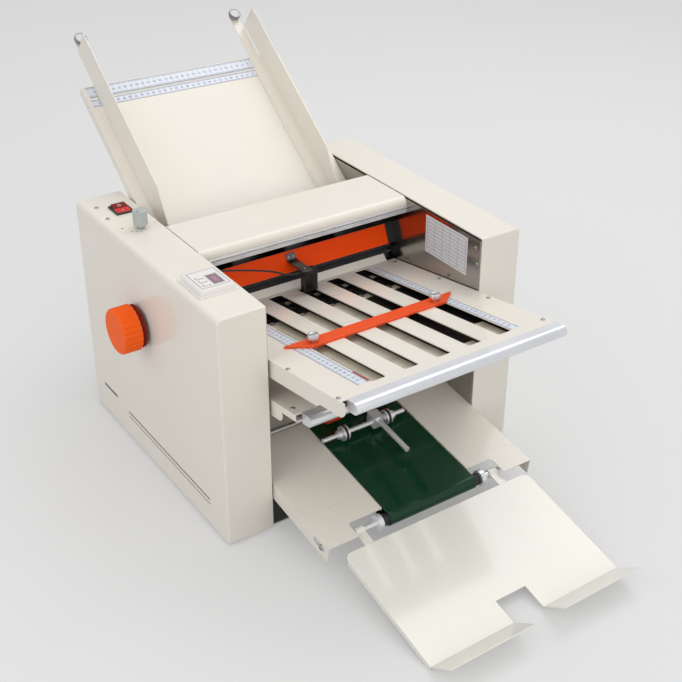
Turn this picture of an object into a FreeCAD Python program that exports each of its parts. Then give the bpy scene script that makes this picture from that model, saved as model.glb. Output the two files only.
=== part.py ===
import FreeCAD, Part
import math
import os

# Desk-top paper folding machine with four slotted fold plates, a rear feed tray,
# a delivery belt with press wheels and a catch tray hung in front.
# Millimetres. X runs across to the right, the front faces -Y, Z is up from the table.
# Sizes are given about the middle between the covers, and the last section moves
# the whole machine so that the origin is the bottom centre of its box.

X_AXIS = FreeCAD.Vector(1, 0, 0)
Y_AXIS = FreeCAD.Vector(0, 1, 0)
Z_AXIS = FreeCAD.Vector(0, 0, 1)
ORIGIN = FreeCAD.Vector(0, 0, 0)
TINY = 0.001

# Clearances that many pieces share
seat = 0.3
running = 0.06
slide_gap = 0.2
overrun = 5.0

# Housing
inner_width = 354.0
cover_width = 71.0
body_depth = 440.0
top_height = 360.0
cover_sheet = 2.0
cover_bend = 2.5
cover_top_bend = 8.0
side_sheet = 2.0
side_drop = 4.0
base_sheet = 2.0
foot_height = 4.0
foot_radius = 12.0
foot_inset = 26.0

# Top cover, front rod and ribbed strip
top_sheet = 1.5
top_drop = 1.0
top_rear = 66.0
roll_centre_y = -30.0
roll_radius = 10.0
roll_skirt = 3.0
top_flange = 12.0
top_rear_flange = 7.0
front_rod_radius = 3.0
front_rod_inset = 2.8
strip_depth = 19.0
strip_height = 6.4
strip_rib = 1.5
strip_ribs = 3

# Fold rollers and gears
gear_teeth = 16
gear_module = 2.0
gear_width = 9.0
gear_backlash = 0.5
addendum_share = 0.8
dedendum_share = 1.25
pressure_angle = 20.0
roller_count = 6
plate_pitch = 61.5
knob_axis_y = 15.0
knob_drop = 116.0
journal_radius = 6.0
bearing_radius = 10.0
bearing_width = 7.0
roller_end_gap = 6.0
gear_side_gap = 6.0

# Toothed drive belts, pulleys and motor on the right
pulley_radius = 11.0
pulley_flange = 2.0
pulley_width = 9.0
pulley_step = 13.0
drive_belt_thickness = 1.5
drive_belt_width = 7.0
motor_axis_y = 105.0
motor_axis_z = 62.0
motor_radius = 32.0
motor_length = 46.0
motor_shaft_radius = 4.0
motor_foot = 8.0
motor_saddle_share = 0.66

# Fold plates
fold_angle = 9.03
fold_half_width = 175.0
fold_sheet = 1.5
fold_gap = 8.5
mouth_inset = 14.0
mouth_rise = 0.7
lip_length = 12.7
lip_angle = 54.0
lip_right = 160.0
slot_width = 22.0
slot_pitch = 51.5
slot_count = 5
slot_corner = 3.0
slot_inset = 6.0
slot_end = 20.0
first_plate_length = 374.6
third_plate_length = 268.3
rear_plate_length = 280.0
rear_mouth_y = 34.0
first_flange = 26.5
first_flange_step = 5.0
first_step_length = 57.0
first_tab = 9.0
first_tab_radius = 12.0
third_flange = 24.5
third_flange_reach = 42.0
third_nib = 5.0
third_nib_drop = 2.5
hook_slot_height = 8.0
hook_slot_depth = 35.0
hook_slot_top = 9.0
nose_radius = 8.0
nose_length = 23.0
nose_left = 165.0
bottom_window_front = 20.0
bottom_window_first = 10.0
bottom_bar = 13.0
bottom_window = 41.0
bottom_slot_width = 12.0
bottom_slot_shift = 4.0
bottom_end = 26.0

# Stop bars and their thumb screws
stop_back = 188.0
stop_width = 26.0
stop_long = 284.0
stop_short = 226.0
stop_thickness = 3.0
stop_rise = 0.4
stop_finger_width = 8.0
stop_finger_depth = 3.0
clamp_stem = 16.0
clamp_flange = 28.0
clamp_thickness = 1.5
clamp_inset = 8.0
hidden_stop_back = 120.0
screw_shank = 2.5
screw_collar = 5.0
screw_collar_height = 2.0
screw_head = 8.0
screw_head_height = 9.0
screw_depth = 5.5
screw_bevel = 0.6

# Orange guard, its brackets and the photo sensor
guard_foot_y = -14.0
guard_drop = 86.0
guard_angle = 67.0
guard_height = 32.0
guard_half = 165.0
guard_sheet = 1.5
bracket_sheet = 1.5
bracket_lap = 2.0
bracket_wing = 10.0
sensor_left = -15.0
sensor_width = 21.0
sensor_y = -52.0
sensor_depth = 14.0
sensor_drop = 104.0
sensor_height = 34.0
sensor_eye_gap = 6.0
sensor_eye_height = 8.0
sensor_arm_width = 16.0
sensor_arm_left = -20.0
sensor_arm_sheet = 2.0
sensor_tab = 11.0
lead_radius = 1.4
lead_trim_share = 0.45

# Feed tray
tray_angle = 37.5
tray_drop = 128.7
tray_low = 80.0
tray_high = 423.0
tray_sheet = 1.5
tray_flange = 14.0
ramp_run = 33.0
ramp_angle = 21.0
tray_slot_at = 400.0
tray_slot_width = 4.0
tray_slot_half = 168.0

# Feed roller
feed_contact = 95.0
feed_radius = 20.0
feed_stack_gap = 1.0
feed_shaft_radius = 5.0
feed_tyre_width = 42.0
feed_tyre_pitch = 92.0
feed_tyres = 3

# Paper guides on the tray
guide_left_x = -157.0
guide_right_x = 142.0
guide_sheet = 1.5
guide_low = 148.0
guide_rise_at = 205.0
guide_high = 486.0
guide_height = 50.0
guide_low_height = 26.0
guide_flange = 20.0
guide_flange_end = 423.0
strip_wider = 3.0
strip_thickness = 1.5
tongue_offset = 12.0
tongue_width = 16.0
tongue_end = 515.0
guide_slit = 2.0
keeper_thickness = 2.0
keeper_half_width = 8.0
knurl_radius = 10.0
knurl_height = 8.0
knurl_stem = 3.0
knurl_nut = 5.5
knurl_nut_height = 3.0

# Delivery frame, belt and rollers
frame_angle = 7.69
frame_front_y = -360.0
frame_front_z = 58.4
frame_length = 302.0
frame_sheet = 1.5
frame_flange = 26.0
belt_left = -70.0
belt_right = 80.0
belt_margin = 2.0
belt_thickness = 1.6
belt_roller_radius = 8.9
belt_front_at = 15.7
belt_rear_at = 286.0
belt_shaft_radius = 4.0
bed_front = 30.5
bed_rear = 268.0
notch_left_out = 128.6
notch_right_out = 126.0
notch_left_depth = 27.2
notch_right_depth = 31.3
notch_corner = 6.0
axle_slot_back = 19.0
roller_overhang = 10.0
collar_radius = 12.0
collar_width = 7.0
collar_gap = 1.5

# Exit rollers and press wheels on the belt
exit_at = 218.0
exit_radius = 18.0
exit_width = 22.0
exit_left_x = -35.0
exit_right_x = 52.0
arm_x = 15.0
arm_height = 20.0
arm_radius = 4.0
arm_front_at = 90.0
arm_block = 14.0
arm_block_width = 16.0
cross_at = 171.5
cross_height = 12.0
cross_radius = 3.5
cross_left = -77.0
cross_right = 67.0
clamp_block = 18.0
clamp_block_top = 26.0
clamp_block_bottom = 6.5
clamp_block_bend = 2.0
wheel_left_x = -40.0
wheel_right_x = 36.0
wheel_width = 9.0
hub_radius = 6.0
hub_width = 13.0
wheel_collar_radius = 6.5
wheel_collar_width = 5.0

# Catch tray
catch_angle = 12.0
catch_near_y = -370.5
catch_near_z = 48.0
catch_length = 195.8
catch_half = 160.0
catch_sheet = 1.5
catch_flange = 7.4
catch_corner = 12.0
catch_notch_half = 25.5
catch_notch_depth = 38.0
catch_tab_run = 37.0
catch_tab_rise = 26.7
catch_tab_chamfer = 3.0
hook_x = 117.0
hook_width = 14.0
hook_sheet = 2.0
hook_lap = 14.0

# Hand knob
knob_face_x = -290.0
knob_back_x = -255.0
knob_radius = 34.0
knob_back_radius = 32.0
knob_groove_radius = 30.0
knob_groove_width = 3.0
knob_back_width = 4.0
knob_flutes = 24
flute_radius = 3.0
flute_depth = 1.3
knob_bevel = 2.5
knob_bore_wall = 6.0

# Switch, speed knob and counter on the left cover
switch_x = -206.5
switch_y = 152.5
switch_width = 27.0
switch_length = 33.0
switch_rim = 2.4
switch_rise = 2.5
rocker_tilt = 8.0
rocker_edge_height = 3.3
rocker_mid_height = 1.8
rocker_bottom = 7.2
rocker_bottom_half = 8.0
rocker_pin_radius = 0.7
speed_x = -209.0
speed_y = 80.0
speed_radius = 10.5
speed_lift = 6.0
speed_grip = 22.0
speed_shaft_radius = 3.0
speed_shaft_depth = 9.0
speed_nut_radius = 6.5
speed_nut_sides = 6
speed_bevel = 1.0
counter_left = -237.0
counter_right = -187.0
counter_front = -157.0
counter_back = -100.0
counter_height = 10.0
counter_bevel = 2.0
display_left = -212.0
display_right = -197.0
display_front = -147.0
display_back = -120.0
display_depth = 1.5
key_x = -222.0
key_first_y = -144.0
key_pitch = 10.5
key_count = 3
key_length = 9.0
key_width = 5.0
key_rise = 1.2
key_travel = 1.0
key_bottom_gap = 0.5

# Mains inlet at the back of the right cover
inlet_x = 215.0
inlet_z = 60.0
inlet_width = 30.0
inlet_height = 24.0
inlet_depth = 22.0
inlet_flange = 4.0
inlet_flange_thickness = 2.0
inlet_wall = 3.0
inlet_mouth_depth = 16.0
inlet_pin_radius = 1.6
inlet_pin_pitch = 5.0
inlet_pin_row = 3.0

# Tie rods and screw heads
tie_radius = 5.0
tie_front_y = -190.0
tie_rear_y = 190.0
tie_frame_rear_y = -85.0
tie_low_z = 30.0
tie_sink = 2.5
screw_radius = 3.2
screw_height = 1.8
end_screw_radius = 5.0
end_screw_height = 3.0
first_left_screw_inset = 9.1
first_right_screw_inset = 17.1
third_screw_inset = 18.3
side_screw_drop = 18.5
side_screw_pitch = 23.5

# Worked-out places
half_inner = inner_width / 2
side_outer = half_inner + side_sheet
cover_outer = side_outer + cover_width
half_depth = body_depth / 2
side_top = top_height - side_drop
base_top = foot_height + base_sheet
cover_inner_top = top_height - cover_sheet
top_face = top_height - top_drop
knob_axis_z = top_height - knob_drop
guard_foot_z = top_height - guard_drop
sensor_bottom = top_height - sensor_drop
tray_z = top_height - tray_drop
speed_low = top_height + speed_lift
speed_high = speed_low + speed_grip
piece_half = half_inner - seat
gear_centres = gear_teeth * gear_module
half_pitch = plate_pitch / 2
roller_offset = math.sqrt(gear_centres ** 2 - half_pitch ** 2)
fold_radius = gear_centres / 2 - seat / 2
front_column_y = knob_axis_y - roller_offset
fold_axes = [(front_column_y if index % 2 == 0 else knob_axis_y,
              knob_axis_z + half_pitch * (1 - index)) for index in range(roller_count)]
gear_x = -side_outer - gear_side_gap
pulley_x = side_outer + gear_side_gap
tray_sine = math.sin(math.radians(tray_angle))
tray_cosine = math.cos(math.radians(tray_angle))
feed_height = feed_radius + feed_stack_gap
feed_axis = (feed_contact * tray_cosine - feed_height * tray_sine,
             tray_z + feed_contact * tray_sine + feed_height * tray_cosine)
frame_sine = math.sin(math.radians(frame_angle))
frame_cosine = math.cos(math.radians(frame_angle))
belt_outer = belt_roller_radius + seat + belt_thickness
press_radius = cross_height - seat
stop_middle = stop_back + stop_width / 2
hidden_stop_middle = hidden_stop_back + stop_width / 2


# Basic forms

def vec(x, y, z):
    return FreeCAD.Vector(x, y, z)


def block(x0, x1, y0, y1, z0, z1):
    return Part.makeBox(x1 - x0, y1 - y0, z1 - z0, vec(x0, y0, z0))


def rod_x(x0, x1, y, z, radius):
    return Part.makeCylinder(radius, x1 - x0, vec(x0, y, z), X_AXIS)


def rod_y(y0, y1, x, z, radius):
    return Part.makeCylinder(radius, y1 - y0, vec(x, y0, z), Y_AXIS)


def post(x, y, z0, z1, radius):
    return Part.makeCylinder(radius, z1 - z0, vec(x, y, z0), Z_AXIS)


def ring_x(x0, x1, y, z, outer, inner):
    return rod_x(x0, x1, y, z, outer).cut(rod_x(x0 - overrun, x1 + overrun, y, z, inner))


def prism_x(outline, x0, x1):
    corners = [vec(x0, y, z) for y, z in outline]
    face = Part.Face(Part.makePolygon(corners + corners[:1]))
    return face.extrude(vec(x1 - x0, 0, 0))


def prism_z(outline, z0, z1):
    corners = [vec(x, y, z0) for x, y in outline]
    face = Part.Face(Part.makePolygon(corners + corners[:1]))
    return face.extrude(vec(0, 0, z1 - z0))


def joined(first, *others):
    return first.fuse(list(others)).removeSplitter()


def tilted(shape, angle, y, z):
    copy = shape.copy()
    copy.rotate(ORIGIN, X_AXIS, angle)
    copy.translate(vec(0, y, z))
    return copy


def edges_along(shape, direction):
    straight = [edge for edge in shape.Edges if len(edge.Vertexes) == 2]
    found = []
    for edge in straight:
        step = edge.Vertexes[1].Point.sub(edge.Vertexes[0].Point)
        if step.cross(direction).Length < TINY:
            found.append(edge)
    return found


def slot_cutter(x, y0, y1, width, corner, z0, z1):
    cutter = block(x - width / 2, x + width / 2, y0, y1, z0, z1)
    return cutter.makeFillet(corner, edges_along(cutter, Z_AXIS))


def mirrored(shape):
    return shape.mirror(ORIGIN, X_AXIS)


# Housing

def upper_outer_edge(shape):
    """The long edge at the top of a left-hand box, on its outer side."""
    box = shape.BoundBox
    return [edge for edge in edges_along(shape, Y_AXIS)
            if edge.BoundBox.XMax < box.XMin + TINY and edge.BoundBox.ZMin > box.ZMax - TINY][0]


def housing_shell():
    shell = block(-cover_outer, -side_outer, -half_depth, half_depth, foot_height, top_height)
    shell = shell.makeFillet(cover_top_bend, [upper_outer_edge(shell)])
    ends = [edge for edge in shell.Edges if edge.BoundBox.YLength < TINY
            and edge.BoundBox.ZMax > foot_height + TINY and edge.BoundBox.XMin < -side_outer - TINY]
    shell = shell.makeFillet(cover_bend, ends)
    hollow = block(-cover_outer + cover_sheet, -side_outer + overrun,
                   -half_depth + cover_sheet, half_depth - cover_sheet,
                   foot_height - overrun, cover_inner_top)
    hollow = hollow.makeFillet(cover_top_bend - cover_sheet, [upper_outer_edge(hollow)])
    return shell.cut(hollow)


def left_cover():
    shell = housing_shell()
    shaft_hole = rod_x(-cover_outer - overrun, -cover_outer + cover_sheet + overrun,
                       knob_axis_y, knob_axis_z, journal_radius + seat)
    half_x = switch_width / 2 - switch_rim
    half_y = switch_length / 2 - switch_rim
    switch_hole = block(switch_x - half_x, switch_x + half_x, switch_y - half_y, switch_y + half_y,
                        cover_inner_top - overrun, top_height + overrun)
    speed_hole = post(speed_x, speed_y, cover_inner_top - overrun, top_height + overrun,
                      speed_shaft_radius + running)
    return shell.cut([shaft_hole, switch_hole, speed_hole])


def right_cover():
    shell = mirrored(housing_shell())
    hole = block(inlet_x - inlet_width / 2, inlet_x + inlet_width / 2,
                 half_depth - cover_sheet - overrun, half_depth + overrun,
                 inlet_z - inlet_height / 2, inlet_z + inlet_height / 2)
    return shell.cut(hole)


def shaft_places():
    places = [(y, z, bearing_radius) for y, z in fold_axes]
    places.append((feed_axis[0], feed_axis[1], feed_shaft_radius + running))
    rear_y, rear_z = on_frame(belt_rear_at, -belt_outer)
    places.append((rear_y, rear_z, belt_shaft_radius + running))
    exit_y, exit_z = on_frame(exit_at, exit_radius + seat)
    places.append((exit_y, exit_z, arm_radius + running))
    return places


def side_plate(side):
    plate = block(half_inner, side_outer, -half_depth + cover_sheet + seat,
                  half_depth - cover_sheet - seat, base_top, side_top)
    holes = [rod_x(half_inner - overrun, side_outer + overrun, y, z, radius)
             for y, z, radius in shaft_places()]
    plate = plate.cut(holes)
    if side > 0:
        return plate
    lead_y, lead_z = lead_points[0].y, lead_points[0].z
    lead_hole = rod_x(half_inner - overrun, side_outer + overrun, lead_y, lead_z, lead_radius + running)
    return mirrored(plate.cut(lead_hole))


def base_plate():
    half_x = cover_outer - cover_sheet - seat
    half_y = half_depth - cover_sheet - seat
    return block(-half_x, half_x, -half_y, half_y, foot_height, base_top)


def rubber_feet():
    feet = []
    for x in (-cover_outer + foot_inset, cover_outer - foot_inset):
        for y in (-half_depth + foot_inset, half_depth - foot_inset):
            feet.append(post(x, y, 0, foot_height, foot_radius))
    return Part.makeCompound(feet)


def top_cover():
    roll_z = top_face - roll_radius
    front = roll_centre_y - roll_radius
    inside = roll_radius - top_sheet
    flat = block(-piece_half, piece_half, roll_centre_y, top_rear, top_face - top_sheet, top_face)
    roll = ring_x(-piece_half, piece_half, roll_centre_y, roll_z, roll_radius, inside)
    roll = roll.common(block(-piece_half, piece_half, front, roll_centre_y, roll_z, top_face))
    skirt = block(-piece_half, piece_half, front, front + top_sheet, roll_z - roll_skirt, roll_z)
    rear = block(-piece_half, piece_half, top_rear - top_sheet, top_rear,
                 top_face - top_rear_flange, top_face)
    flanges = [block(x, x + top_sheet, roll_centre_y, top_rear, top_face - top_flange, top_face)
               for x in (-piece_half, piece_half - top_sheet)]
    return joined(flat, roll, skirt, rear, *flanges)


# Fixed rods and the ribbed strip between the side plates

def on_frame(along, above):
    """A place on the delivery frame, from its front edge and its top plane, as (y, z)."""
    return (frame_front_y + along * frame_cosine - above * frame_sine,
            frame_front_z + along * frame_sine + above * frame_cosine)


def fold_plane_z(mouth_z, mouth_y, y):
    return mouth_z + abs(y - mouth_y) * math.tan(math.radians(fold_angle))


def mouth_level(index):
    """Height of a fold plate's mouth, between the two rollers beside it."""
    return fold_axes[index][1] + mouth_rise


def tie_places():
    """Tie rods, each sunk into the flanges of the plate or frame that rests on it."""
    first_drop = first_flange / math.cos(math.radians(fold_angle)) + tie_radius - tie_sink
    third_drop = third_flange / math.cos(math.radians(fold_angle)) + tie_radius - tie_sink
    frame_drop = frame_flange / frame_cosine + tie_radius - tie_sink
    places = [(tie_front_y, fold_plane_z(mouth_level(1), -mouth_inset, tie_front_y) - first_drop),
              (tie_front_y, fold_plane_z(mouth_level(3), -mouth_inset, tie_front_y) - third_drop)]
    for index in (2, 4):
        places.append((tie_rear_y, fold_plane_z(mouth_level(index), rear_mouth_y, tie_rear_y) - third_drop))
    for y in (tie_front_y, tie_frame_rear_y):
        plane_z = frame_front_z + (y - frame_front_y) * math.tan(math.radians(frame_angle))
        places.append((y, plane_z - frame_drop))
    places.append((tie_rear_y, tie_low_z))
    return places


def tie_cutters():
    return [rod_x(-half_inner, half_inner, y, z, tie_radius + running) for y, z in tie_places()]


def ribbed_strip():
    """A flat strip with grip ribs along its front edge, just under the chrome rod."""
    top = top_face - roll_radius - roll_skirt - 2 * front_rod_radius - seat
    front = roll_centre_y - roll_radius + strip_rib
    rib = strip_height / (2 * strip_ribs)
    outline = [(front + strip_depth, top - strip_height), (front + strip_depth, top)]
    level = top
    for _ in range(strip_ribs):
        outline += [(front - strip_rib, level), (front - strip_rib, level - rib),
                    (front, level - rib), (front, level - 2 * rib)]
        level -= 2 * rib
    return prism_x(outline, -half_inner, half_inner)


def cross_rods():
    ties = [rod_x(-half_inner, half_inner, y, z, tie_radius) for y, z in tie_places()]
    rod_z = top_face - roll_radius - roll_skirt - front_rod_radius
    front_y = roll_centre_y - roll_radius + front_rod_inset
    chrome_rod = rod_x(-half_inner, half_inner, front_y, rod_z, front_rod_radius)
    shaft_y, shaft_z = on_frame(belt_front_at, -belt_outer)
    shaft = rod_x(-piece_half, piece_half, shaft_y, shaft_z, belt_shaft_radius)
    collars = []
    for x in (belt_left - roller_overhang - collar_gap - collar_width,
              belt_right + roller_overhang + collar_gap):
        collars.append(ring_x(x, x + collar_width, shaft_y, shaft_z, collar_radius, belt_shaft_radius))
    return Part.makeCompound(ties + [chrome_rod, ribbed_strip(), shaft] + collars)


# Fold rollers with their gears

def involute(angle):
    return math.tan(angle) - angle


def gear(x0, x1, y, z, phase):
    """Spur gear about an X axis, with one tooth at the angle phase from +Y towards +Z."""
    pitch_radius = gear_centres / 2
    base_radius = pitch_radius * math.cos(math.radians(pressure_angle))
    half_tooth = math.pi / (2 * gear_teeth) - gear_backlash / (2 * pitch_radius)
    widest = half_tooth + involute(math.radians(pressure_angle))
    tip_radius = pitch_radius + addendum_share * gear_module
    root_radius = pitch_radius - dedendum_share * gear_module
    tip_half = widest - involute(math.acos(base_radius / tip_radius))
    flank = [(root_radius, -widest), (pitch_radius, -half_tooth), (tip_radius, -tip_half),
             (tip_radius, tip_half), (pitch_radius, half_tooth), (root_radius, widest)]
    outline = []
    for tooth in range(gear_teeth):
        turn = math.radians(phase) + 2 * math.pi * tooth / gear_teeth
        for radius, angle in flank:
            outline.append((y + radius * math.cos(turn + angle), z + radius * math.sin(turn + angle)))
    return prism_x(outline, x0, x1)


def gear_phases():
    """Tooth angles that leave each gear in mesh with the one before it."""
    tooth_pitch = math.degrees(2 * math.pi / gear_teeth)
    phases = [0.0]
    for (y0, z0), (y1, z1) in zip(fold_axes, fold_axes[1:]):
        towards = math.degrees(math.atan2(z1 - z0, y1 - y0))
        back = towards + math.degrees(math.pi)
        phases.append(back - (phases[-1] - towards) + tooth_pitch / 2)
    return phases


def pulley(row, y, z):
    x0 = pulley_x + row * pulley_step
    wheel = rod_x(x0, x0 + pulley_width, y, z, pulley_radius)
    flange = rod_x(x0 + pulley_width, x0 + pulley_width + pulley_flange, y, z,
                   pulley_radius + pulley_flange)
    return joined(wheel, flange)


def fold_roller(index):
    y, z = fold_axes[index]
    half = half_inner - roller_end_gap
    left_end = gear_x - gear_width - gear_side_gap
    if index == 1:
        left_end = knob_face_x + knob_bore_wall + seat
    right_end = pulley_x
    pulley_rows = {0: [1], roller_count - 1: [0, 2]}.get(index, [])
    if pulley_rows:
        right_end = pulley_x + max(pulley_rows) * pulley_step + pulley_width
    body = rod_x(-half, half, y, z, fold_radius)
    shaft = rod_x(left_end, right_end, y, z, journal_radius)
    wheel = gear(gear_x - gear_width, gear_x, y, z, gear_phases()[index])
    return joined(body, shaft, wheel, *[pulley(row, y, z) for row in pulley_rows])


def bearings():
    rings = []
    for y, z in fold_axes:
        ring = ring_x(half_inner, half_inner + bearing_width, y, z, bearing_radius,
                      journal_radius + running)
        rings += [ring, mirrored(ring)]
    return Part.makeCompound(rings)


def feed_roller():
    y, z = feed_axis
    shaft = rod_x(-side_outer - gear_side_gap, pulley_x + pulley_step, y, z, feed_shaft_radius)
    tyres = []
    for index in range(feed_tyres):
        x = (index - (feed_tyres - 1) / 2) * feed_tyre_pitch
        tyres.append(rod_x(x - feed_tyre_width / 2, x + feed_tyre_width / 2, y, z, feed_radius))
    return joined(shaft, pulley(1, y, z), *tyres)


# Motor and toothed belts

def motor():
    face_x = pulley_x - overrun
    y, z = motor_axis_y, motor_axis_z
    start = pulley_x + pulley_width + motor_foot
    can = rod_x(start, start + motor_length - motor_foot, y, z, motor_radius)
    saddle_half = motor_radius * motor_saddle_share
    saddle = block(start, start + motor_length - motor_foot, y - saddle_half, y + saddle_half, base_top, z)
    shaft = rod_x(face_x, start, y, z, motor_shaft_radius)
    return joined(can, saddle, shaft)


def motor_pulley():
    y, z = motor_axis_y, motor_axis_z
    bore = rod_x(pulley_x - overrun, pulley_x + pulley_width + overrun, y, z,
                 motor_shaft_radius + running)
    return pulley(0, y, z).cut(bore)


def belt_loop(start, end, inner, outer, x0, x1):
    run = vec(0, end[0] - start[0], end[1] - start[1])
    across = run.cross(X_AXIS).normalize()

    def stadium(radius, a, b):
        corners = [(start[0] + across.y * radius, start[1] + across.z * radius),
                   (end[0] + across.y * radius, end[1] + across.z * radius),
                   (end[0] - across.y * radius, end[1] - across.z * radius),
                   (start[0] - across.y * radius, start[1] - across.z * radius)]
        ends = [rod_x(a, b, y, z, radius) for y, z in (start, end)]
        return joined(prism_x(corners, a, b), *ends)

    return stadium(outer, x0, x1).cut(stadium(inner, x0 - overrun, x1 + overrun))


def drive_belts():
    rear = on_frame(belt_rear_at, -belt_outer)
    last = fold_axes[-1]
    runs = [((motor_axis_y, motor_axis_z), last, 0), (fold_axes[0], feed_axis, 1), (last, rear, 2)]
    inner = pulley_radius + seat
    loops = []
    for start, end, row in runs:
        x0 = pulley_x + row * pulley_step + (pulley_width - drive_belt_width) / 2
        loops.append(belt_loop(start, end, inner, inner + drive_belt_thickness,
                               x0, x0 + drive_belt_width))
    return Part.makeCompound(loops)


# Fold plates, built flat with the mouth at y = 0 and placed on their slope

def slot_places():
    return [(index - (slot_count - 1) / 2) * slot_pitch for index in range(slot_count)]


def upper_sheet(length, lip_end):
    sheet = block(-fold_half_width, fold_half_width, -length, 0, -fold_sheet, 0)
    cutters = [slot_cutter(x, -length + slot_end, -slot_inset, slot_width, slot_corner,
                           -fold_sheet - overrun, overrun) for x in slot_places()]
    sheet = sheet.cut(cutters)
    lean = math.radians(lip_angle)
    tip = (lip_length * math.cos(lean), lip_length * math.sin(lean))
    lip = prism_x([(0, -fold_sheet), (0, 0), tip,
                   (tip[0] + fold_sheet * math.sin(lean), tip[1] - fold_sheet * math.cos(lean))],
                  -fold_half_width, lip_end)
    return joined(sheet, lip)


def flange_pair(outline, right_outline):
    left = prism_x(outline, -fold_half_width, -fold_half_width + fold_sheet)
    right = prism_x(right_outline, fold_half_width - fold_sheet, fold_half_width)
    return left, right


def flange_outline(length, depth):
    return [(0, 0), (0, -depth), (-length, -depth), (-length, 0)]


def first_plate_upper():
    length = first_plate_length
    step = -length + first_step_length
    depth = first_flange - first_flange_step
    left = [(0, 0), (0, -first_flange), (step, -first_flange), (step - first_tab, -depth),
            (-length - first_tab, -depth), (-length - first_tab, 0)]
    right = left[:4] + [(-length, -depth), (-length, 0)]
    tab, flange = flange_pair(left, right)
    low_end = [edge for edge in edges_along(tab, X_AXIS)
               if edge.BoundBox.YMax < -length - first_tab + TINY and edge.BoundBox.ZMax < -fold_sheet]
    tab = tab.makeFillet(first_tab_radius, low_end)
    plate = joined(upper_sheet(length, lip_right), tab, flange)
    return front_plate(plate, 1).cut(tie_cutters())


def third_plate_upper():
    length = third_plate_length
    back = -length + third_flange_reach
    low = -hook_slot_top - hook_slot_height
    slot_back = -length + hook_slot_depth + fold_sheet
    outline = [(0, 0), (0, -third_flange), (back, -third_flange), (back - third_nib, low - third_nib_drop),
               (back - third_nib, low), (slot_back, low), (slot_back, -hook_slot_top),
               (-length, -hook_slot_top), (-length, 0)]
    plate = joined(upper_sheet(length, fold_half_width), *flange_pair(outline, outline))
    return front_plate(plate, 3).cut(tie_cutters())


def lower_sheet(length):
    """The channel's lower sheet: windows near the mouth, then slots narrower than the upper ones."""
    half = fold_half_width - fold_sheet
    top = -fold_sheet - fold_gap
    sheet = block(-half, half, -length, 0, top - fold_sheet, top)
    first = -bottom_window_first - bottom_window_front
    second = first - bottom_bar - bottom_window
    third = second - bottom_bar
    cutters = []
    for x in slot_places():
        for y0, y1 in ((first, -bottom_window_first), (second, first - bottom_bar)):
            cutters.append(block(x - slot_width / 2, x + slot_width / 2, y0, y1,
                                 top - fold_sheet - overrun, top + overrun))
        cutters.append(slot_cutter(x - bottom_slot_shift, -length + bottom_end, third, bottom_slot_width,
                                   slot_corner, top - fold_sheet - overrun, top + overrun))
    return sheet.cut(cutters)


def nose(length, left_end, right_end):
    """Rounded bright trim that closes the front of a fold plate."""
    back = -length
    centre = back - nose_length + nose_radius
    bar = block(left_end, right_end, centre, back, -2 * nose_radius, 0)
    return joined(bar, rod_x(left_end, right_end, centre, -nose_radius, nose_radius))


def front_plate(shape, index):
    return tilted(shape, -fold_angle, -mouth_inset, mouth_level(index))


def rear_plate(shape, index):
    copy = shape.copy()
    copy.rotate(ORIGIN, Z_AXIS, math.degrees(math.pi))
    return tilted(copy, fold_angle, rear_mouth_y, mouth_level(index))


def plate_trims():
    full = fold_half_width
    return Part.makeCompound([front_plate(nose(first_plate_length, -nose_left, full), 1),
                              front_plate(nose(third_plate_length, -nose_left, full), 3),
                              rear_plate(nose(rear_plate_length, -full, full), 2),
                              rear_plate(nose(rear_plate_length, -full, full), 4)])


def rear_plates():
    outline = flange_outline(rear_plate_length, third_flange)
    solids = []
    for index in (2, 4):
        upper = joined(upper_sheet(rear_plate_length, fold_half_width), *flange_pair(outline, outline))
        solids += [rear_plate(upper, index).cut(tie_cutters()),
                   rear_plate(lower_sheet(rear_plate_length), index)]
    return Part.makeCompound(solids)


# Stop bars, built flat on their plate

def stop_bar(back):
    """Flat bar with pointed ends, fingers through the slots and a clamp under each outer slot."""
    outline = [(-stop_long / 2, -back), (stop_long / 2, -back),
               (stop_short / 2, -back - stop_width), (-stop_short / 2, -back - stop_width)]
    bar = prism_z(outline, stop_rise, stop_rise + stop_thickness)
    pieces = []
    middle = -back - stop_width / 2
    channel_floor = -fold_sheet - fold_gap
    for x in slot_places()[1:-1]:
        pieces.append(block(x - stop_finger_width / 2, x + stop_finger_width / 2, middle,
                            middle + stop_finger_depth, channel_floor + 2 * slide_gap, stop_rise))
    for x in (slot_places()[0], slot_places()[-1]):
        under = -fold_sheet - slide_gap
        pieces.append(block(x - clamp_stem / 2, x + clamp_stem / 2, middle - clamp_inset,
                            middle + clamp_inset, under - clamp_thickness, stop_rise))
        pieces.append(block(x - clamp_flange / 2, x + clamp_flange / 2, middle - clamp_inset,
                            middle + clamp_inset, under - clamp_thickness, under))
    return joined(bar, *pieces)


def thumb_screw(x, middle):
    foot = stop_rise + stop_thickness
    base = foot + running
    shank = post(x, middle, foot - screw_depth + running, base + screw_collar_height, screw_shank)
    collar = post(x, middle, base, base + screw_collar_height, screw_collar)
    head = post(x, middle, base + screw_collar_height, base + screw_collar_height + screw_head_height,
                screw_head)
    rims = [edge for edge in head.Edges if edge.BoundBox.ZLength < TINY]
    head = head.makeChamfer(screw_bevel, rims)
    return joined(shank, collar, head)


def stop_bar_holes(bar, middle):
    foot = stop_rise + stop_thickness
    holes = [post(x, middle, foot - screw_depth - seat, foot + overrun, screw_shank + running)
             for x in (slot_places()[0], slot_places()[-1])]
    return bar.cut(holes)


def first_stop_bar():
    return front_plate(stop_bar_holes(stop_bar(stop_back), -stop_middle), 1)


def stop_screw(side):
    return front_plate(thumb_screw(slot_places()[0 if side < 0 else -1], -stop_middle), 1)


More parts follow.
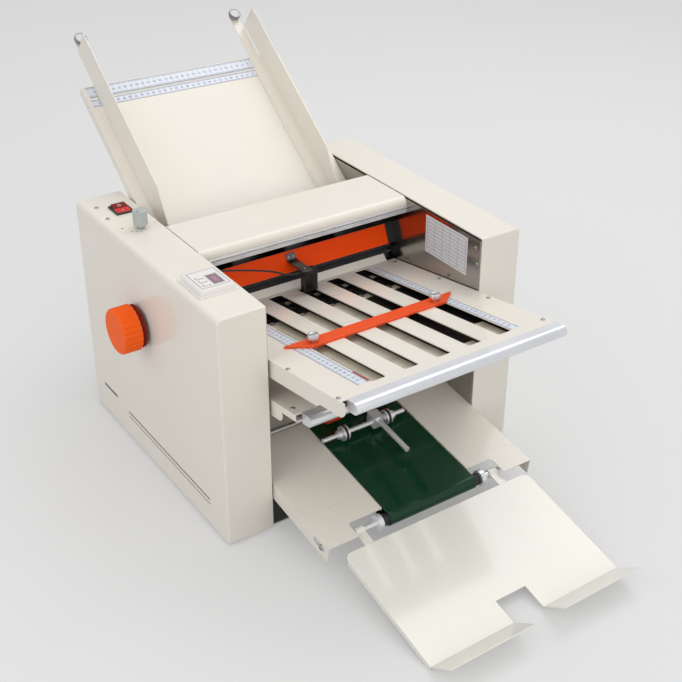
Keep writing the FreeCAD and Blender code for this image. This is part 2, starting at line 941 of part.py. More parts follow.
def hidden_stop_bar(index):
    bar = stop_bar(hidden_stop_back)
    screws = [thumb_screw(x, -hidden_stop_middle) for x in (slot_places()[0], slot_places()[-1])]
    bar = joined(bar, *[screw.copy() for screw in screws])
    return front_plate(bar, index) if index == 3 else rear_plate(bar, index)


# Guard, brackets, photo sensor and its lead

def on_guard(shape):
    return tilted(shape, guard_angle, guard_foot_y, guard_foot_z)


def orange_guard():
    return on_guard(block(-guard_half, guard_half, 0, guard_height, -guard_sheet, 0))


def guard_brackets():
    start = guard_half - bracket_lap
    face = block(start, piece_half, 0, guard_height, 0, bracket_sheet)
    wing = block(piece_half - bracket_sheet, piece_half, 0, guard_height, -bracket_wing, bracket_sheet)
    bracket = on_guard(joined(face, wing))
    return Part.makeCompound([bracket, mirrored(bracket)])


def photo_sensor():
    """Sensor block with an eye slot at its foot, on a strip bent down from the guard."""
    right = sensor_left + sensor_width
    back = sensor_y + sensor_depth
    top = sensor_bottom + sensor_height
    body = block(sensor_left, right, sensor_y, back, sensor_bottom, top)
    eye = block(sensor_left - overrun, right + overrun, sensor_y + sensor_eye_gap,
                back - sensor_eye_gap / 2, sensor_bottom - overrun, sensor_bottom + sensor_eye_height)
    arm_right = sensor_arm_left + sensor_arm_width
    lean = math.radians(guard_angle)
    reach = guard_foot_y + (top - guard_foot_z) / math.tan(lean)
    arm = block(sensor_arm_left, arm_right, sensor_y, reach, top, top + sensor_arm_sheet)
    foot = (top - guard_foot_z) / math.sin(lean)
    tab = on_guard(block(sensor_arm_left, arm_right, foot, foot + sensor_tab, 0, sensor_arm_sheet))
    return Part.makeCompound([body.cut(eye), joined(arm, tab)])


# The lead's route, chosen by hand: out of the left side plate, sagging to the sensor,
# as places across, along and below the covers' top
lead_route = [(-184.0, -45.0, 30.0), (-160.0, -45.0, 30.0), (-124.0, -45.6, 39.0), (-94.0, -46.0, 47.5),
              (-64.0, -46.4, 57.5), (-38.0, -45.6, 73.0), (-15.0, -45.6, 73.0)]
lead_points = [vec(x, y, top_height - drop) for x, y, drop in lead_route]


def sensor_lead():
    """Tube along the lead's points: straight runs joined by the largest arcs that fit them."""
    edges = []
    at = lead_points[0]
    for before, corner, after in zip(lead_points, lead_points[1:], lead_points[2:]):
        back = before.sub(corner)
        ahead = after.sub(corner)
        trim = lead_trim_share * min(back.Length, ahead.Length)
        turn = math.pi - back.getAngle(ahead)
        radius = trim / math.tan(turn / 2)
        print("lead bend radius", round(radius, 1))
        start = corner.add(back.normalize().multiply(trim))
        end = corner.add(ahead.normalize().multiply(trim))
        inward = back.add(ahead).normalize()
        depth = radius / math.cos(turn / 2) - radius
        edges.append(Part.LineSegment(at, start).toShape())
        edges.append(Part.Arc(start, corner.add(inward.multiply(depth)), end).toShape())
        at = end
    edges.append(Part.LineSegment(at, lead_points[-1]).toShape())
    path = Part.Wire(edges)
    heading = lead_points[1].sub(lead_points[0])
    ring = Part.Wire([Part.makeCircle(lead_radius, lead_points[0], heading)])
    tube = path.makePipeShell([ring], True, False)
    print("lead length", round(path.Length, 1), "volume share of section times length",
          round(tube.Volume / (math.pi * lead_radius ** 2 * path.Length), 4))
    return tube


# Feed tray and paper guides, built flat along the tray

def on_tray(shape):
    return tilted(shape, tray_angle, 0, tray_z)


def feed_tray():
    sheet = block(-piece_half, piece_half, tray_low, tray_high, -tray_sheet, 0)
    sides = [block(x, x + tray_sheet, tray_low, tray_high, -tray_flange, 0)
             for x in (-piece_half, piece_half - tray_sheet)]
    top_edge = block(-piece_half, piece_half, tray_high - tray_sheet, tray_high, -tray_flange, 0)
    drop = math.radians(tray_angle - ramp_angle)
    low = (tray_low - ramp_run * math.cos(drop), ramp_run * math.sin(drop))
    ramp = prism_x([(tray_low, 0), low, (low[0] - tray_sheet * math.sin(drop), low[1] - tray_sheet),
                    (tray_low, -tray_sheet)], -piece_half, piece_half)
    slot = block(-tray_slot_half, tray_slot_half, tray_slot_at - tray_slot_width / 2,
                 tray_slot_at + tray_slot_width / 2, -tray_sheet - overrun, overrun)
    return on_tray(joined(sheet, *sides, top_edge, ramp).cut(slot))


def guide(wall_x, inward):
    """One angle on its base strip; inward is 1 when the paper lies at +X of it, else -1."""
    strip_top = seat + strip_thickness
    flange_top = strip_top + guide_sheet

    def span(near, far):
        ends = (wall_x + inward * near, wall_x + inward * far)
        return min(ends), max(ends)

    wall_x0, wall_x1 = span(0, guide_sheet)
    wall = prism_x([(guide_low, strip_top), (guide_low, guide_low_height), (guide_rise_at, guide_height),
                    (guide_high, guide_height), (guide_high, strip_top + guide_slit),
                    (guide_flange_end, strip_top + guide_slit), (guide_flange_end, strip_top)],
                   wall_x0, wall_x1)
    x0, x1 = span(0, guide_flange)
    flange = block(x0, x1, guide_low, guide_flange_end, strip_top, flange_top)
    x0, x1 = span(0, guide_flange + strip_wider)
    strip = block(x0, x1, guide_low, guide_flange_end, seat, strip_top)
    x0, x1 = span(tongue_offset - tongue_width / 2, tongue_offset + tongue_width / 2)
    tongue_round = tongue_end - tongue_width / 2
    tongue = block(x0, x1, guide_flange_end - overrun, tongue_round, seat, strip_top)
    end = post((x0 + x1) / 2, tongue_round, seat, strip_top, tongue_width / 2)
    x0, x1 = span(0, guide_flange)
    runner = block(x0, x1, tray_slot_at - tray_slot_width / 2 + slide_gap,
                   tray_slot_at + tray_slot_width / 2 - slide_gap, -tray_sheet - slide_gap, seat)
    keeper = block(x0, x1, tray_slot_at - keeper_half_width, tray_slot_at + keeper_half_width,
                   -tray_sheet - slide_gap - keeper_thickness, -tray_sheet - slide_gap)
    hole = post(wall_x + inward * tongue_offset, tongue_round, -overrun, overrun, knurl_stem + running)
    return on_tray(joined(wall, flange, strip, tongue, end, runner, keeper).cut(hole))


def guide_screw(wall_x, inward):
    x = wall_x + inward * tongue_offset
    at = tongue_end - tongue_width / 2
    top = seat + strip_thickness + running
    head = post(x, at, top, top + knurl_height, knurl_radius)
    rims = [edge for edge in head.Edges if edge.BoundBox.ZLength < TINY]
    head = head.makeChamfer(screw_bevel, rims)
    stem = post(x, at, seat - running - knurl_nut_height, top, knurl_stem)
    nut = post(x, at, seat - running - knurl_nut_height, seat - running, knurl_nut)
    return on_tray(joined(head, stem, nut))


# Delivery frame, belt, exit rollers and press wheels, built flat on the frame

def on_delivery(shape):
    return tilted(shape, frame_angle, frame_front_y, frame_front_z)


def delivery_frame():
    """Two shelves joined by the belt's bed, with flanges outside and notches in front."""
    left_in = belt_left - belt_margin
    right_in = belt_right + belt_margin
    bed_top = -belt_thickness - seat
    low = bed_top - frame_sheet
    shelf_left = block(-piece_half, left_in, 0, frame_length, -frame_sheet, 0)
    shelf_right = block(right_in, piece_half, 0, frame_length, -frame_sheet, 0)
    bed = block(left_in - frame_sheet, right_in + frame_sheet, bed_front, bed_rear, low, bed_top)
    webs = [block(left_in - frame_sheet, left_in, notch_left_depth, frame_length, low, 0),
            block(right_in, right_in + frame_sheet, notch_right_depth, frame_length, low, 0)]
    flanges = [block(x, x + frame_sheet, 0, frame_length, -frame_flange, 0)
               for x in (-piece_half, piece_half - frame_sheet)]
    frame = joined(shelf_left, shelf_right, bed, *webs, *flanges)
    notches = []
    for x0, x1, depth in ((-notch_left_out, left_in + overrun, notch_left_depth),
                          (right_in - overrun, notch_right_out, notch_right_depth)):
        notches.append(slot_cutter((x0 + x1) / 2, -notch_corner - overrun, depth, x1 - x0, notch_corner,
                                   -frame_sheet - overrun, overrun))
    hole = belt_shaft_radius + running
    axle = [block(-piece_half - overrun, piece_half + overrun, belt_front_at,
                  belt_front_at + axle_slot_back, -belt_outer - hole, -belt_outer + hole),
            rod_x(-piece_half - overrun, piece_half + overrun, belt_front_at, -belt_outer, hole),
            rod_x(-piece_half - overrun, piece_half + overrun, belt_rear_at, -belt_outer, hole)]
    return on_delivery(frame.cut(notches + axle)).cut(tie_cutters())


def delivery_belt():
    inner = belt_roller_radius + seat
    loop = belt_loop((belt_front_at, -belt_outer), (belt_rear_at, -belt_outer), inner,
                     inner + belt_thickness, belt_left, belt_right)
    return on_delivery(loop)


def front_belt_roller():
    roller = ring_x(belt_left - roller_overhang, belt_right + roller_overhang, belt_front_at,
                    -belt_outer, belt_roller_radius, belt_shaft_radius + running)
    return on_delivery(roller)


def rear_belt_roller():
    body = rod_x(belt_left, belt_right, belt_rear_at, -belt_outer, belt_roller_radius)
    shaft = rod_x(-side_outer - gear_side_gap, pulley_x + 2 * pulley_step + pulley_width, belt_rear_at,
                  -belt_outer, belt_shaft_radius)
    return on_delivery(joined(body, shaft, pulley(2, belt_rear_at, -belt_outer)))


def exit_rollers():
    z = exit_radius + seat
    shaft = rod_x(-side_outer - gear_side_gap, side_outer + gear_side_gap, exit_at, z, arm_radius)
    wheels = [rod_x(x - exit_width / 2, x + exit_width / 2, exit_at, z, exit_radius)
              for x in (exit_left_x, exit_right_x)]
    return on_delivery(joined(shaft, *wheels))


def press_arm():
    """Block that swings on the exit rollers' shaft, with the long rod fixed in it."""
    z = exit_radius + seat
    half = arm_block_width / 2
    body = block(arm_x - half, arm_x + half, exit_at - arm_block / 2, exit_at + arm_block / 2,
                 z - arm_block / 2, arm_height + arm_block / 2)
    rod = rod_y(arm_front_at, exit_at - arm_block / 2, arm_x, arm_height, arm_radius)
    bore = rod_x(arm_x - arm_block_width, arm_x + arm_block_width, exit_at, z, arm_radius + running)
    return on_delivery(joined(body, rod).cut(bore))


def press_carriage():
    """Clamp on the long rod, carrying the press wheels' cross rod and its collars."""
    half = clamp_block / 2
    body = block(arm_x - half, arm_x + half, cross_at - half, cross_at + half,
                 clamp_block_bottom, clamp_block_top)
    body = body.makeFillet(clamp_block_bend, edges_along(body, Y_AXIS))
    bore = rod_y(cross_at - clamp_block, cross_at + clamp_block, arm_x, arm_height, arm_radius + running)
    rod = rod_x(cross_left, cross_right, cross_at, cross_height, cross_radius)
    collars = []
    for x in (wheel_left_x - hub_width / 2 - seat - wheel_collar_width,
              wheel_right_x + hub_width / 2 + seat):
        collars.append(rod_x(x, x + wheel_collar_width, cross_at, cross_height, wheel_collar_radius))
    return on_delivery(joined(body.cut(bore), rod, *collars))


def press_wheel(x):
    wheel = rod_x(x - wheel_width / 2, x + wheel_width / 2, cross_at, cross_height, press_radius)
    hub = rod_x(x - hub_width / 2, x + hub_width / 2, cross_at, cross_height, hub_radius)
    bore = rod_x(x - hub_width, x + hub_width, cross_at, cross_height, cross_radius + running)
    return on_delivery(joined(wheel, hub).cut(bore))


# Catch tray

def catch_tray():
    sheet = block(-catch_half, catch_half, -catch_length, 0, -catch_sheet, 0)
    near = [edge for edge in edges_along(sheet, Z_AXIS) if edge.BoundBox.YMin > -TINY]
    sheet = sheet.makeFillet(catch_corner, near)
    notch = block(-catch_notch_half, catch_notch_half, -catch_length - overrun,
                  -catch_length + catch_notch_depth, -catch_sheet - overrun, overrun)
    sheet = sheet.cut(notch)
    sides = [block(x, x + catch_sheet, -catch_length, -catch_corner, -catch_flange, 0)
             for x in (-catch_half, catch_half - catch_sheet)]
    lean = math.atan2(catch_tab_rise, catch_tab_run) + math.radians(catch_angle)
    run = math.hypot(catch_tab_run, catch_tab_rise)
    tip = (-catch_length - run * math.cos(lean), run * math.sin(lean))
    under = (-catch_sheet * math.sin(lean), -catch_sheet * math.cos(lean))
    tab_outline = [(-catch_length, 0), tip, (tip[0] + under[0], tip[1] + under[1]),
                   (-catch_length, -catch_sheet)]
    tabs = []
    for x0, x1 in ((-catch_half, -catch_notch_half), (catch_notch_half, catch_half)):
        tab = prism_x(tab_outline, x0, x1)
        corners = edges_along(tab, vec(0, under[0], under[1]))
        tabs.append(tab.makeChamfer(catch_tab_chamfer, corners))
    tray = joined(sheet, *sides, *tabs)
    tray = tilted(tray, catch_angle, catch_near_y, catch_near_z)
    shaft_y, shaft_z = on_frame(belt_front_at, -belt_outer)
    inner = belt_shaft_radius + running
    outer = inner + hook_sheet
    hooks = []
    for x in (-hook_x, hook_x):
        x0, x1 = x - hook_width / 2, x + hook_width / 2
        reach = (catch_near_y - shaft_y + inner) / math.cos(math.radians(catch_angle))
        strip = block(x0, x1, -hook_lap, -reach, -catch_sheet - hook_sheet, -catch_sheet)
        strip = tilted(strip, catch_angle, catch_near_y, catch_near_z)
        eye = ring_x(x0, x1, shaft_y, shaft_z, outer, inner)
        mouth = block(x0, x1, shaft_y - inner / 2, shaft_y + outer, shaft_z - outer, shaft_z - inner / 2)
        eye = joined(eye, strip).cut(rod_x(x0 - overrun, x1 + overrun, shaft_y, shaft_z, inner))
        hooks.append(eye.cut(mouth))
    return joined(tray, *hooks)


# Controls

def hand_knob():
    """Fluted knob with a dark groove near its back, on the second fold roller's shaft."""
    groove_x = knob_back_x - knob_back_width
    y, z = knob_axis_y, knob_axis_z
    grip = rod_x(knob_face_x, groove_x - knob_groove_width, y, z, knob_radius)
    front = [edge for edge in grip.Edges if edge.BoundBox.XMax < knob_face_x + TINY]
    grip = grip.makeChamfer(knob_bevel, front)
    flutes = []
    reach = knob_radius + flute_radius - flute_depth
    for index in range(knob_flutes):
        turn = 2 * math.pi * index / knob_flutes
        flutes.append(rod_x(knob_face_x - overrun, groove_x - knob_groove_width, y + reach * math.cos(turn),
                            z + reach * math.sin(turn), flute_radius))
    grip = grip.cut(flutes)
    groove = rod_x(groove_x - knob_groove_width, groove_x, y, z, knob_groove_radius)
    back = rod_x(groove_x, knob_back_x, y, z, knob_back_radius)
    bore = rod_x(knob_face_x + knob_bore_wall, knob_back_x + overrun, y, z, journal_radius + running)
    return joined(grip, groove, back).cut(bore)


def switch_bezel():
    half_x = switch_width / 2
    half_y = switch_length / 2
    rim = block(switch_x - half_x, switch_x + half_x, switch_y - half_y, switch_y + half_y,
                top_height, top_height + switch_rise)
    window = block(switch_x - half_x + switch_rim, switch_x + half_x - switch_rim,
                   switch_y - half_y + switch_rim, switch_y + half_y - switch_rim,
                   top_height - overrun, top_height + overrun)
    pin = rod_x(switch_x - half_x + switch_rim / 2, switch_x + half_x - switch_rim / 2, switch_y,
                rocker_axis_z(), rocker_pin_radius)
    return joined(rim.cut(window), pin)


def rocker_axis_z():
    return top_height + switch_rise / 2


def rocker():
    half_x = switch_width / 2 - switch_rim - seat
    half_y = (switch_length / 2 - switch_rim - seat) / math.cos(math.radians(rocker_tilt))
    half_y -= rocker_edge_height * math.sin(math.radians(rocker_tilt))
    outline = [(-half_y, rocker_edge_height), (0, rocker_mid_height), (half_y, rocker_edge_height),
               (rocker_bottom_half, -rocker_bottom), (-rocker_bottom_half, -rocker_bottom)]
    key = prism_x(outline, switch_x - half_x, switch_x + half_x)
    bore = rod_x(switch_x - half_x - overrun, switch_x + half_x + overrun, 0, 0,
                 rocker_pin_radius + running)
    return tilted(key.cut(bore), rocker_tilt, switch_y, rocker_axis_z())


def speed_knob():
    grip = post(speed_x, speed_y, speed_low, speed_high, speed_radius)
    rims = [edge for edge in grip.Edges if edge.BoundBox.ZMin > speed_high - TINY]
    grip = grip.makeChamfer(speed_bevel, rims)
    shaft = post(speed_x, speed_y, top_height - speed_shaft_depth, speed_low, speed_shaft_radius)
    return joined(grip, shaft)


def counter_body():
    top = top_height + counter_height
    body = block(counter_left, counter_right, counter_front, counter_back, top_height, top)
    upper = [edge for edge in body.Edges if edge.BoundBox.ZMin > top - TINY]
    body = body.makeChamfer(counter_bevel, upper)
    pockets = [block(display_left, display_right, display_front, display_back,
                     top - display_depth, top + overrun)]
    half_x = key_length / 2 + slide_gap
    half_y = key_width / 2 + slide_gap
    floor = top - key_travel - key_bottom_gap - key_rise
    for index in range(key_count):
        y = key_first_y + index * key_pitch
        pockets.append(block(key_x - half_x, key_x + half_x, y - half_y, y + half_y, floor, top + overrun))
    return body.cut(pockets)


def counter_key(index):
    top = top_height + counter_height
    y = key_first_y + index * key_pitch
    return block(key_x - key_length / 2, key_x + key_length / 2, y - key_width / 2, y + key_width / 2,
                 top - key_rise, top + key_rise)


def power_inlet():
    half_x = inlet_width / 2 - seat
    half_z = inlet_height / 2 - seat
    back = half_depth
    front = back + inlet_flange_thickness

    def box(grow, y0, y1):
        return block(inlet_x - half_x - grow, inlet_x + half_x + grow, y0, y1,
                     inlet_z - half_z - grow, inlet_z + half_z + grow)

    body = box(0, back - inlet_depth, back)
    flange = box(inlet_flange, back, front)
    mouth = box(-inlet_wall, front - inlet_mouth_depth, front + overrun)
    pins = [rod_y(front - inlet_mouth_depth, front - inlet_wall, inlet_x + x, inlet_z + z, inlet_pin_radius)
            for x, z in ((-inlet_pin_pitch, -inlet_pin_row), (inlet_pin_pitch, -inlet_pin_row),
                         (0, inlet_pin_row))]
    return joined(joined(body, flange).cut(mouth), *pins)


# Screw heads

first_plate_screws = [(-172.0, -248.5), (-171.0, first_left_screw_inset - first_plate_length), (165.0, -17.0),
                      (167.0, -127.5), (168.0, -242.0), (168.0, first_right_screw_inset - first_plate_length)]
third_plate_screws = [(-167.0, third_screw_inset - third_plate_length)]
side_plate_screws = [(-207.5, top_height - side_screw_drop),
                     (-213.0, top_height - side_screw_drop - side_screw_pitch)]
cover_screws = [(-234.0, 178.0), (-236.0, 133.0)]


def screws():
    heads = []
    for x, y in first_plate_screws:
        heads.append(front_plate(post(x, y, 0, screw_height, screw_radius), 1))
    for x, y in third_plate_screws:
        heads.append(front_plate(post(x, y, 0, screw_height, screw_radius), 3))
    for y, z in side_plate_screws:
        heads.append(rod_x(half_inner - screw_height, half_inner, y, z, screw_radius))
    for x, y in cover_screws:
        heads.append(post(x, y, top_height, top_height + screw_height, screw_radius))
    shaft_y, shaft_z = on_frame(belt_front_at, -belt_outer)
    for x in (-piece_half - end_screw_height, piece_half):
        heads.append(rod_x(x, x + end_screw_height, shaft_y, shaft_z, end_screw_radius))
    turns = [2 * math.pi * side / speed_nut_sides for side in range(speed_nut_sides)]
    nut = prism_z([(speed_x + speed_nut_radius * math.cos(turn), speed_y + speed_nut_radius * math.sin(turn))
                   for turn in turns], top_height, speed_low - seat)
    bore = post(speed_x, speed_y, top_height - overrun, speed_low + overrun, speed_shaft_radius + running)
    heads.append(nut.cut(bore))
    return Part.makeCompound(heads)


# All pieces

nodes = {
    "left_cover": left_cover(),
    "right_cover": right_cover(),
    "left_side_plate": side_plate(-1),
    "right_side_plate": side_plate(1),
    "base_plate": base_plate(),
    "rubber_feet": rubber_feet(),
    "top_cover": top_cover(),
    "cross_rods": cross_rods(),
    "bearings": bearings(),
    "orange_guard": orange_guard(),
    "guard_brackets": guard_brackets(),
    "photo_sensor": photo_sensor(),
    "sensor_lead": sensor_lead(),
    "feed_tray": feed_tray(),
    "guide_left": guide(guide_left_x, 1),
    "guide_right": guide(guide_right_x, -1),
    "guide_screw_left": guide_screw(guide_left_x, 1),
    "guide_screw_right": guide_screw(guide_right_x, -1),
    "feed_roller": feed_roller(),
    "plate_1_upper": first_plate_upper(),
    "plate_1_lower": front_plate(lower_sheet(first_plate_length), 1),
    "plate_3_upper": third_plate_upper(),
    "plate_3_lower": front_plate(lower_sheet(third_plate_length), 3),
    "rear_plates": rear_plates(),
    "plate_trims": plate_trims(),
    "stop_bar_1": first_stop_bar(),
    "stop_screw_left": stop_screw(-1),
    "stop_screw_right": stop_screw(1),
    "stop_bar_2": hidden_stop_bar(2),
    "stop_bar_3": hidden_stop_bar(3),
    "stop_bar_4": hidden_stop_bar(4),
    "delivery_frame": delivery_frame(),
    "delivery_belt": delivery_belt(),
    "front_belt_roller": front_belt_roller(),
    "rear_belt_roller": rear_belt_roller(),
    "exit_rollers": exit_rollers(),
    "press_arm": press_arm(),
    "press_carriage": press_carriage(),
    "press_wheel_left": press_wheel(wheel_left_x),
    "press_wheel_right": press_wheel(wheel_right_x),
    "catch_tray": catch_tray(),
    "hand_knob": hand_knob(),
    "switch_bezel": switch_bezel(),
    "rocker": rocker(),
    "speed_knob": speed_knob(),
    "counter_body": counter_body(),
    "power_inlet": power_inlet(),
    "motor": motor(),
    "motor_pulley": motor_pulley(),
    "drive_belts": drive_belts(),
    "screws": screws(),
}
for roller in range(roller_count):
    nodes["fold_roller_" + str(roller + 1)] = fold_roller(roller)
for key in range(key_count):
    nodes["counter_key_" + str(key + 1)] = counter_key(key)

# Stand the machine on the bottom centre of its box
whole = FreeCAD.BoundBox()
for shape in nodes.values():
    whole.add(shape.optimalBoundingBox(False, False))
shift = vec(-whole.Center.x, -whole.Center.y, -whole.ZMin)
os.makedirs("parts", exist_ok=True)
for name, shape in nodes.items():
    shape.translate(shift)
    shape.exportStep("parts/" + name + ".step")
    print(name, "solids", len(shape.Solids), "valid", shape.isValid(), "volume", round(shape.Volume))
print("size", round(whole.XLength, 1), round(whole.YLength, 1), round(whole.ZLength, 1))
print("shift", round(shift.x, 3), round(shift.y, 3), round(shift.z, 3))
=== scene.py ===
"""Finishes and small pieces of a desk-top paper folding machine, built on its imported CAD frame."""
import math

import bmesh
import bpy
from bpy.props import FloatProperty, FloatVectorProperty, IntProperty, PointerProperty
from mathutils import Matrix, Vector


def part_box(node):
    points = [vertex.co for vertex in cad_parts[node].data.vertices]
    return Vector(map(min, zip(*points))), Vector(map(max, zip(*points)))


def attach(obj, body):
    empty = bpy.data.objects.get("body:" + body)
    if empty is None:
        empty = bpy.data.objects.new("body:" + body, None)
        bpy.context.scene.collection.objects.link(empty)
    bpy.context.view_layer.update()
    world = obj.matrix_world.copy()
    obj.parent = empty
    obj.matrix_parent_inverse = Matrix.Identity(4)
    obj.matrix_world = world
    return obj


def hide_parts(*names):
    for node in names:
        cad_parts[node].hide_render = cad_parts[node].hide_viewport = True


bl_info = {
    "name": "Paper Folding Machine",
    "version": (1, 0, 0),
    "blender": (4, 5, 0),
    "location": "3D View > Sidebar > Paper Folder",
    "description": "Finishes and small pieces of a desk-top paper folding machine",
    "category": "Object",
}

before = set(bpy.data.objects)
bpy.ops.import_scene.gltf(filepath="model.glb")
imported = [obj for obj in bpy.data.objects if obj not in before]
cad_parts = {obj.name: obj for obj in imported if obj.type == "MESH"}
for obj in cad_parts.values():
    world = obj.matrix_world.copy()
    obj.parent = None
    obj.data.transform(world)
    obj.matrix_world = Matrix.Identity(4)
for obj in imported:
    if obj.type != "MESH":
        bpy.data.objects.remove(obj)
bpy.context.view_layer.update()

# Where the machine's centre line stands in the frame, in metres as all lengths here
MACHINE_X = 0.020
MACHINE_Y = 0.095616

# Tilted sheets: place of the edge that carries each one, and its tilt in degrees
PLATE_Y = -0.014
FIRST_PLATE_Z = 0.2447
THIRD_PLATE_Z = 0.1832
PLATE_TILT = -9.03
TRAY_Z = 0.2313
TRAY_TILT = 37.5
DELIVERY_Y = -0.360
DELIVERY_Z = 0.0584
DELIVERY_TILT = 7.69

GUARD_Z = 0.274
GUARD_TILT = 67.0

# Painted shade on the first fold plate's lower sheet, where it lies in shadow: strips beside the slots, by
# their place in the pitch, and areas given as near, far, left and right from the machine's centre line
SLOT_PITCH = 0.0515
SLOT_SHADE = (0.0180, 0.0300)
PAINTED_SHADE_AREAS = ((-0.0315, 0.020, -0.2, 0.2), (-0.0915, -0.0432, -0.2, 0.2), (-0.3375, -0.1065, 0.030, 0.082),
               (-0.2960, -0.1065, 0.082, 0.2))

# Rulers on the first fold plate and across the feed tray
LEFT_RULER = (-0.1335, -0.1170)
RIGHT_RULER = (0.1150, 0.1290)
RULER_NEAR = 0.009
RULER_FAR = 0.353
TRAY_RULERS = ((0.3855, 0.3975), (0.4025, 0.4215))
TRAY_RULER_HALF = 0.172
# Height below which the feed tray's ramp gets painted shade, made black where it lies under the top cover
TRAY_RAMP_TOP = 0.300
TICK_PITCH = 0.002
NUMBER_PITCH = 0.010
LONG_TICK_EVERY = 5
TICK_SHARE = 0.16
LONG_TICK_SHARE = 0.26
RED_MARK = (-0.1168, -0.1143, -0.350, -0.314)

# Thumb screws: places, bottom above their sheet, and radius and height of collar and head
STOP_SCREW_X = 0.103
STOP_SCREW_ALONG = -0.201
STOP_SCREW_BASE = 0.00346
STOP_SCREW = (0.005, 0.002, 0.008, 0.009)
GUIDE_SCREW_ALONG = 0.507
GUIDE_SCREW_X = (-0.145, 0.130)
GUIDE_SCREW_BASE = 0.00186
GUIDE_SCREW = (0.006, 0.003, 0.010, 0.008)

# Visible screws, on the sheet that each one holds
FIRST_PLATE_SCREWS = ((-0.172, -0.2485), (-0.171, -0.3655), (0.165, -0.017), (0.167, -0.1275),
                      (0.168, -0.242), (0.168, -0.3575))
THIRD_PLATE_SCREWS = ((-0.167, -0.250),)
SIDE_PLATE_SCREWS = ((-0.2075, 0.3415), (-0.213, 0.318))
COVER_SCREWS = ((-0.234, 0.178), (-0.236, 0.133))
SIDE_PLATE_FACE = 0.177
COVER_TOP = 0.360
BRACKET_SCREWS = ((-0.0162, 0.0229), (-0.0078, 0.0229))
BRACKET_THICKNESS = 0.002
BRACKET_ARM_SCREW = (-0.012, -0.045, 0.292)
BRACKET_SCREW_SHARE = 0.62
SCREW_RADIUS = 0.0032
SCREW_HEIGHT = 0.0018
SCREW_TURN = 1.1
DOME_STEPS = 5
RECESS_ARM = 0.62
RECESS_HALF = 0.13
RECESS_LEVELS = (0.4, 1.5)
SHAFT_SCREW_RADIUS = 0.005
SHAFT_SCREW_HEIGHT = 0.003
SHAFT_ALONG = 0.0157
SHAFT_ABOVE = -0.0105
SHAFT_HALF = 0.1767

# Speed dial
DIAL_X = -0.209
DIAL_Y = 0.080
DIAL_LOW = 0.366
DIAL_HIGH = 0.388
DIAL_RADIUS = 0.0105
DIAL_SHAFT = 0.003
DIAL_SHAFT_DEPTH = 0.006
DIAL_RIB_DEPTH = 0.0005
DIAL_POINTER_TURN = 215
DIAL_TOP_SHARE = 0.86
DIAL_ROUNDING = 0.0004
NUT_RADIUS = 0.0065
NUT_HEIGHT = 0.0055
DIAL_DOTS = ((-0.2326, 0.0917, 0.0015), (-0.2251, 0.0752, 0.0009), (-0.2193, 0.0710, 0.0009),
             (-0.2136, 0.0685, 0.0009), (-0.2052, 0.0682, 0.0009), (-0.1987, 0.0719, 0.0009),
             (-0.1844, 0.0869, 0.0009))

# Counter and its display
COUNTER_TOP = 0.370
DISPLAY_X = (-0.212, -0.197)
DISPLAY_Y = (-0.147, -0.120)
DISPLAY_DEPTH = 0.0015
DISPLAY_INSET = 0.0004
DIGIT_HEIGHT = 0.0088
COUNTER_FRAME_X = (-0.2325, -0.1915)
COUNTER_FRAME_Y = (-0.1525, -0.1045)
KEY_X = -0.222
KEY_Y = (-0.144, -0.1335, -0.123)
RIM_WIDTH = 0.0035
RIM_HEIGHT = 0.0022
COUNTER_LINE = 0.0011
WINDOW_LINE = 0.0006
WINDOW_MARGIN = 0.0012
KEY_LINE = 0.0005
KEY_FRAME_HALF = (0.0053, 0.0033)

# Rocker switch
SWITCH_X = -0.2065
SWITCH_Y = 0.1525
ROCKER_AXIS_Z = 0.36125
ROCKER_TILT = 8.0
ROCKER_MID = 0.0018
ROCKER_EDGE = 0.0033
ROCKER_HALF = 0.0135
ROCKER_MARK_SHARE = 0.52
ROCKER_MARK_LINE = 0.0008
ROCKER_MARK_RADIUS = 0.0024
ROCKER_RING_LINE = 0.0007

# Stripes printed on the left cover: start, end, bottom and top of each
COVER_SIDE = -0.250
STRIPES = ((0.135, 0.183, 0.0535, 0.0575), (-0.169, 0.095, 0.0484, 0.0507), (-0.169, 0.095, 0.0408, 0.0422))

# Bare chart plate on the right side plate
CHART_Y = (-0.190, -0.090)
CHART_Z = (0.289, 0.350)
CHART_ROWS = 9
CHART_COLUMNS = 5
CHART_MARGIN = 0.004

# Sensor, rollers, knob and press wheels: where one finish ends, and the wheels' profile
SENSOR_BLOCK_HEIGHT = 0.034
GRIP_HALF = 0.171
BARE_SHAFT_RADIUS = 0.0056
KNOB_GRIP_LENGTH = 0.0278
# Length of the knob's painted shade behind its grip
KNOB_PAINTED_SHADE_LENGTH = 0.02
WHEEL_HALF = 0.0045
WHEEL_BORE = 0.00355
WHEEL_SEAT = 0.84
WHEEL_RIM = 0.96
WEB_STEP = 0.0012
WEB_SHARE = 0.82
LIP_SHARE = 0.88
HUB_RADIUS = 0.006
HUB_EDGE = 0.0005
TYRE_HALF = 0.0022
TYRE_EDGE = 0.0007

# The sensor's lead from the left side plate to the sensor, as in the CAD route
LEAD_POINTS = ((-0.184, -0.045, 0.330), (-0.160, -0.045, 0.330), (-0.124, -0.0456, 0.321),
               (-0.094, -0.046, 0.3125), (-0.064, -0.0464, 0.3025), (-0.038, -0.0456, 0.287),
               (-0.015, -0.0456, 0.287))
LEAD_DIAMETER = 0.0028

# The camera of the photograph
CAMERA_PLACE = (-0.81047, -1.27698, 1.09049)
CAMERA_AZIMUTH = 0.63842
CAMERA_ELEVATION = 0.51347
CAMERA_ROLL = 0.02522
CAMERA_LENS = 62.43
CAMERA_SHIFT = (-0.078, -0.0356)

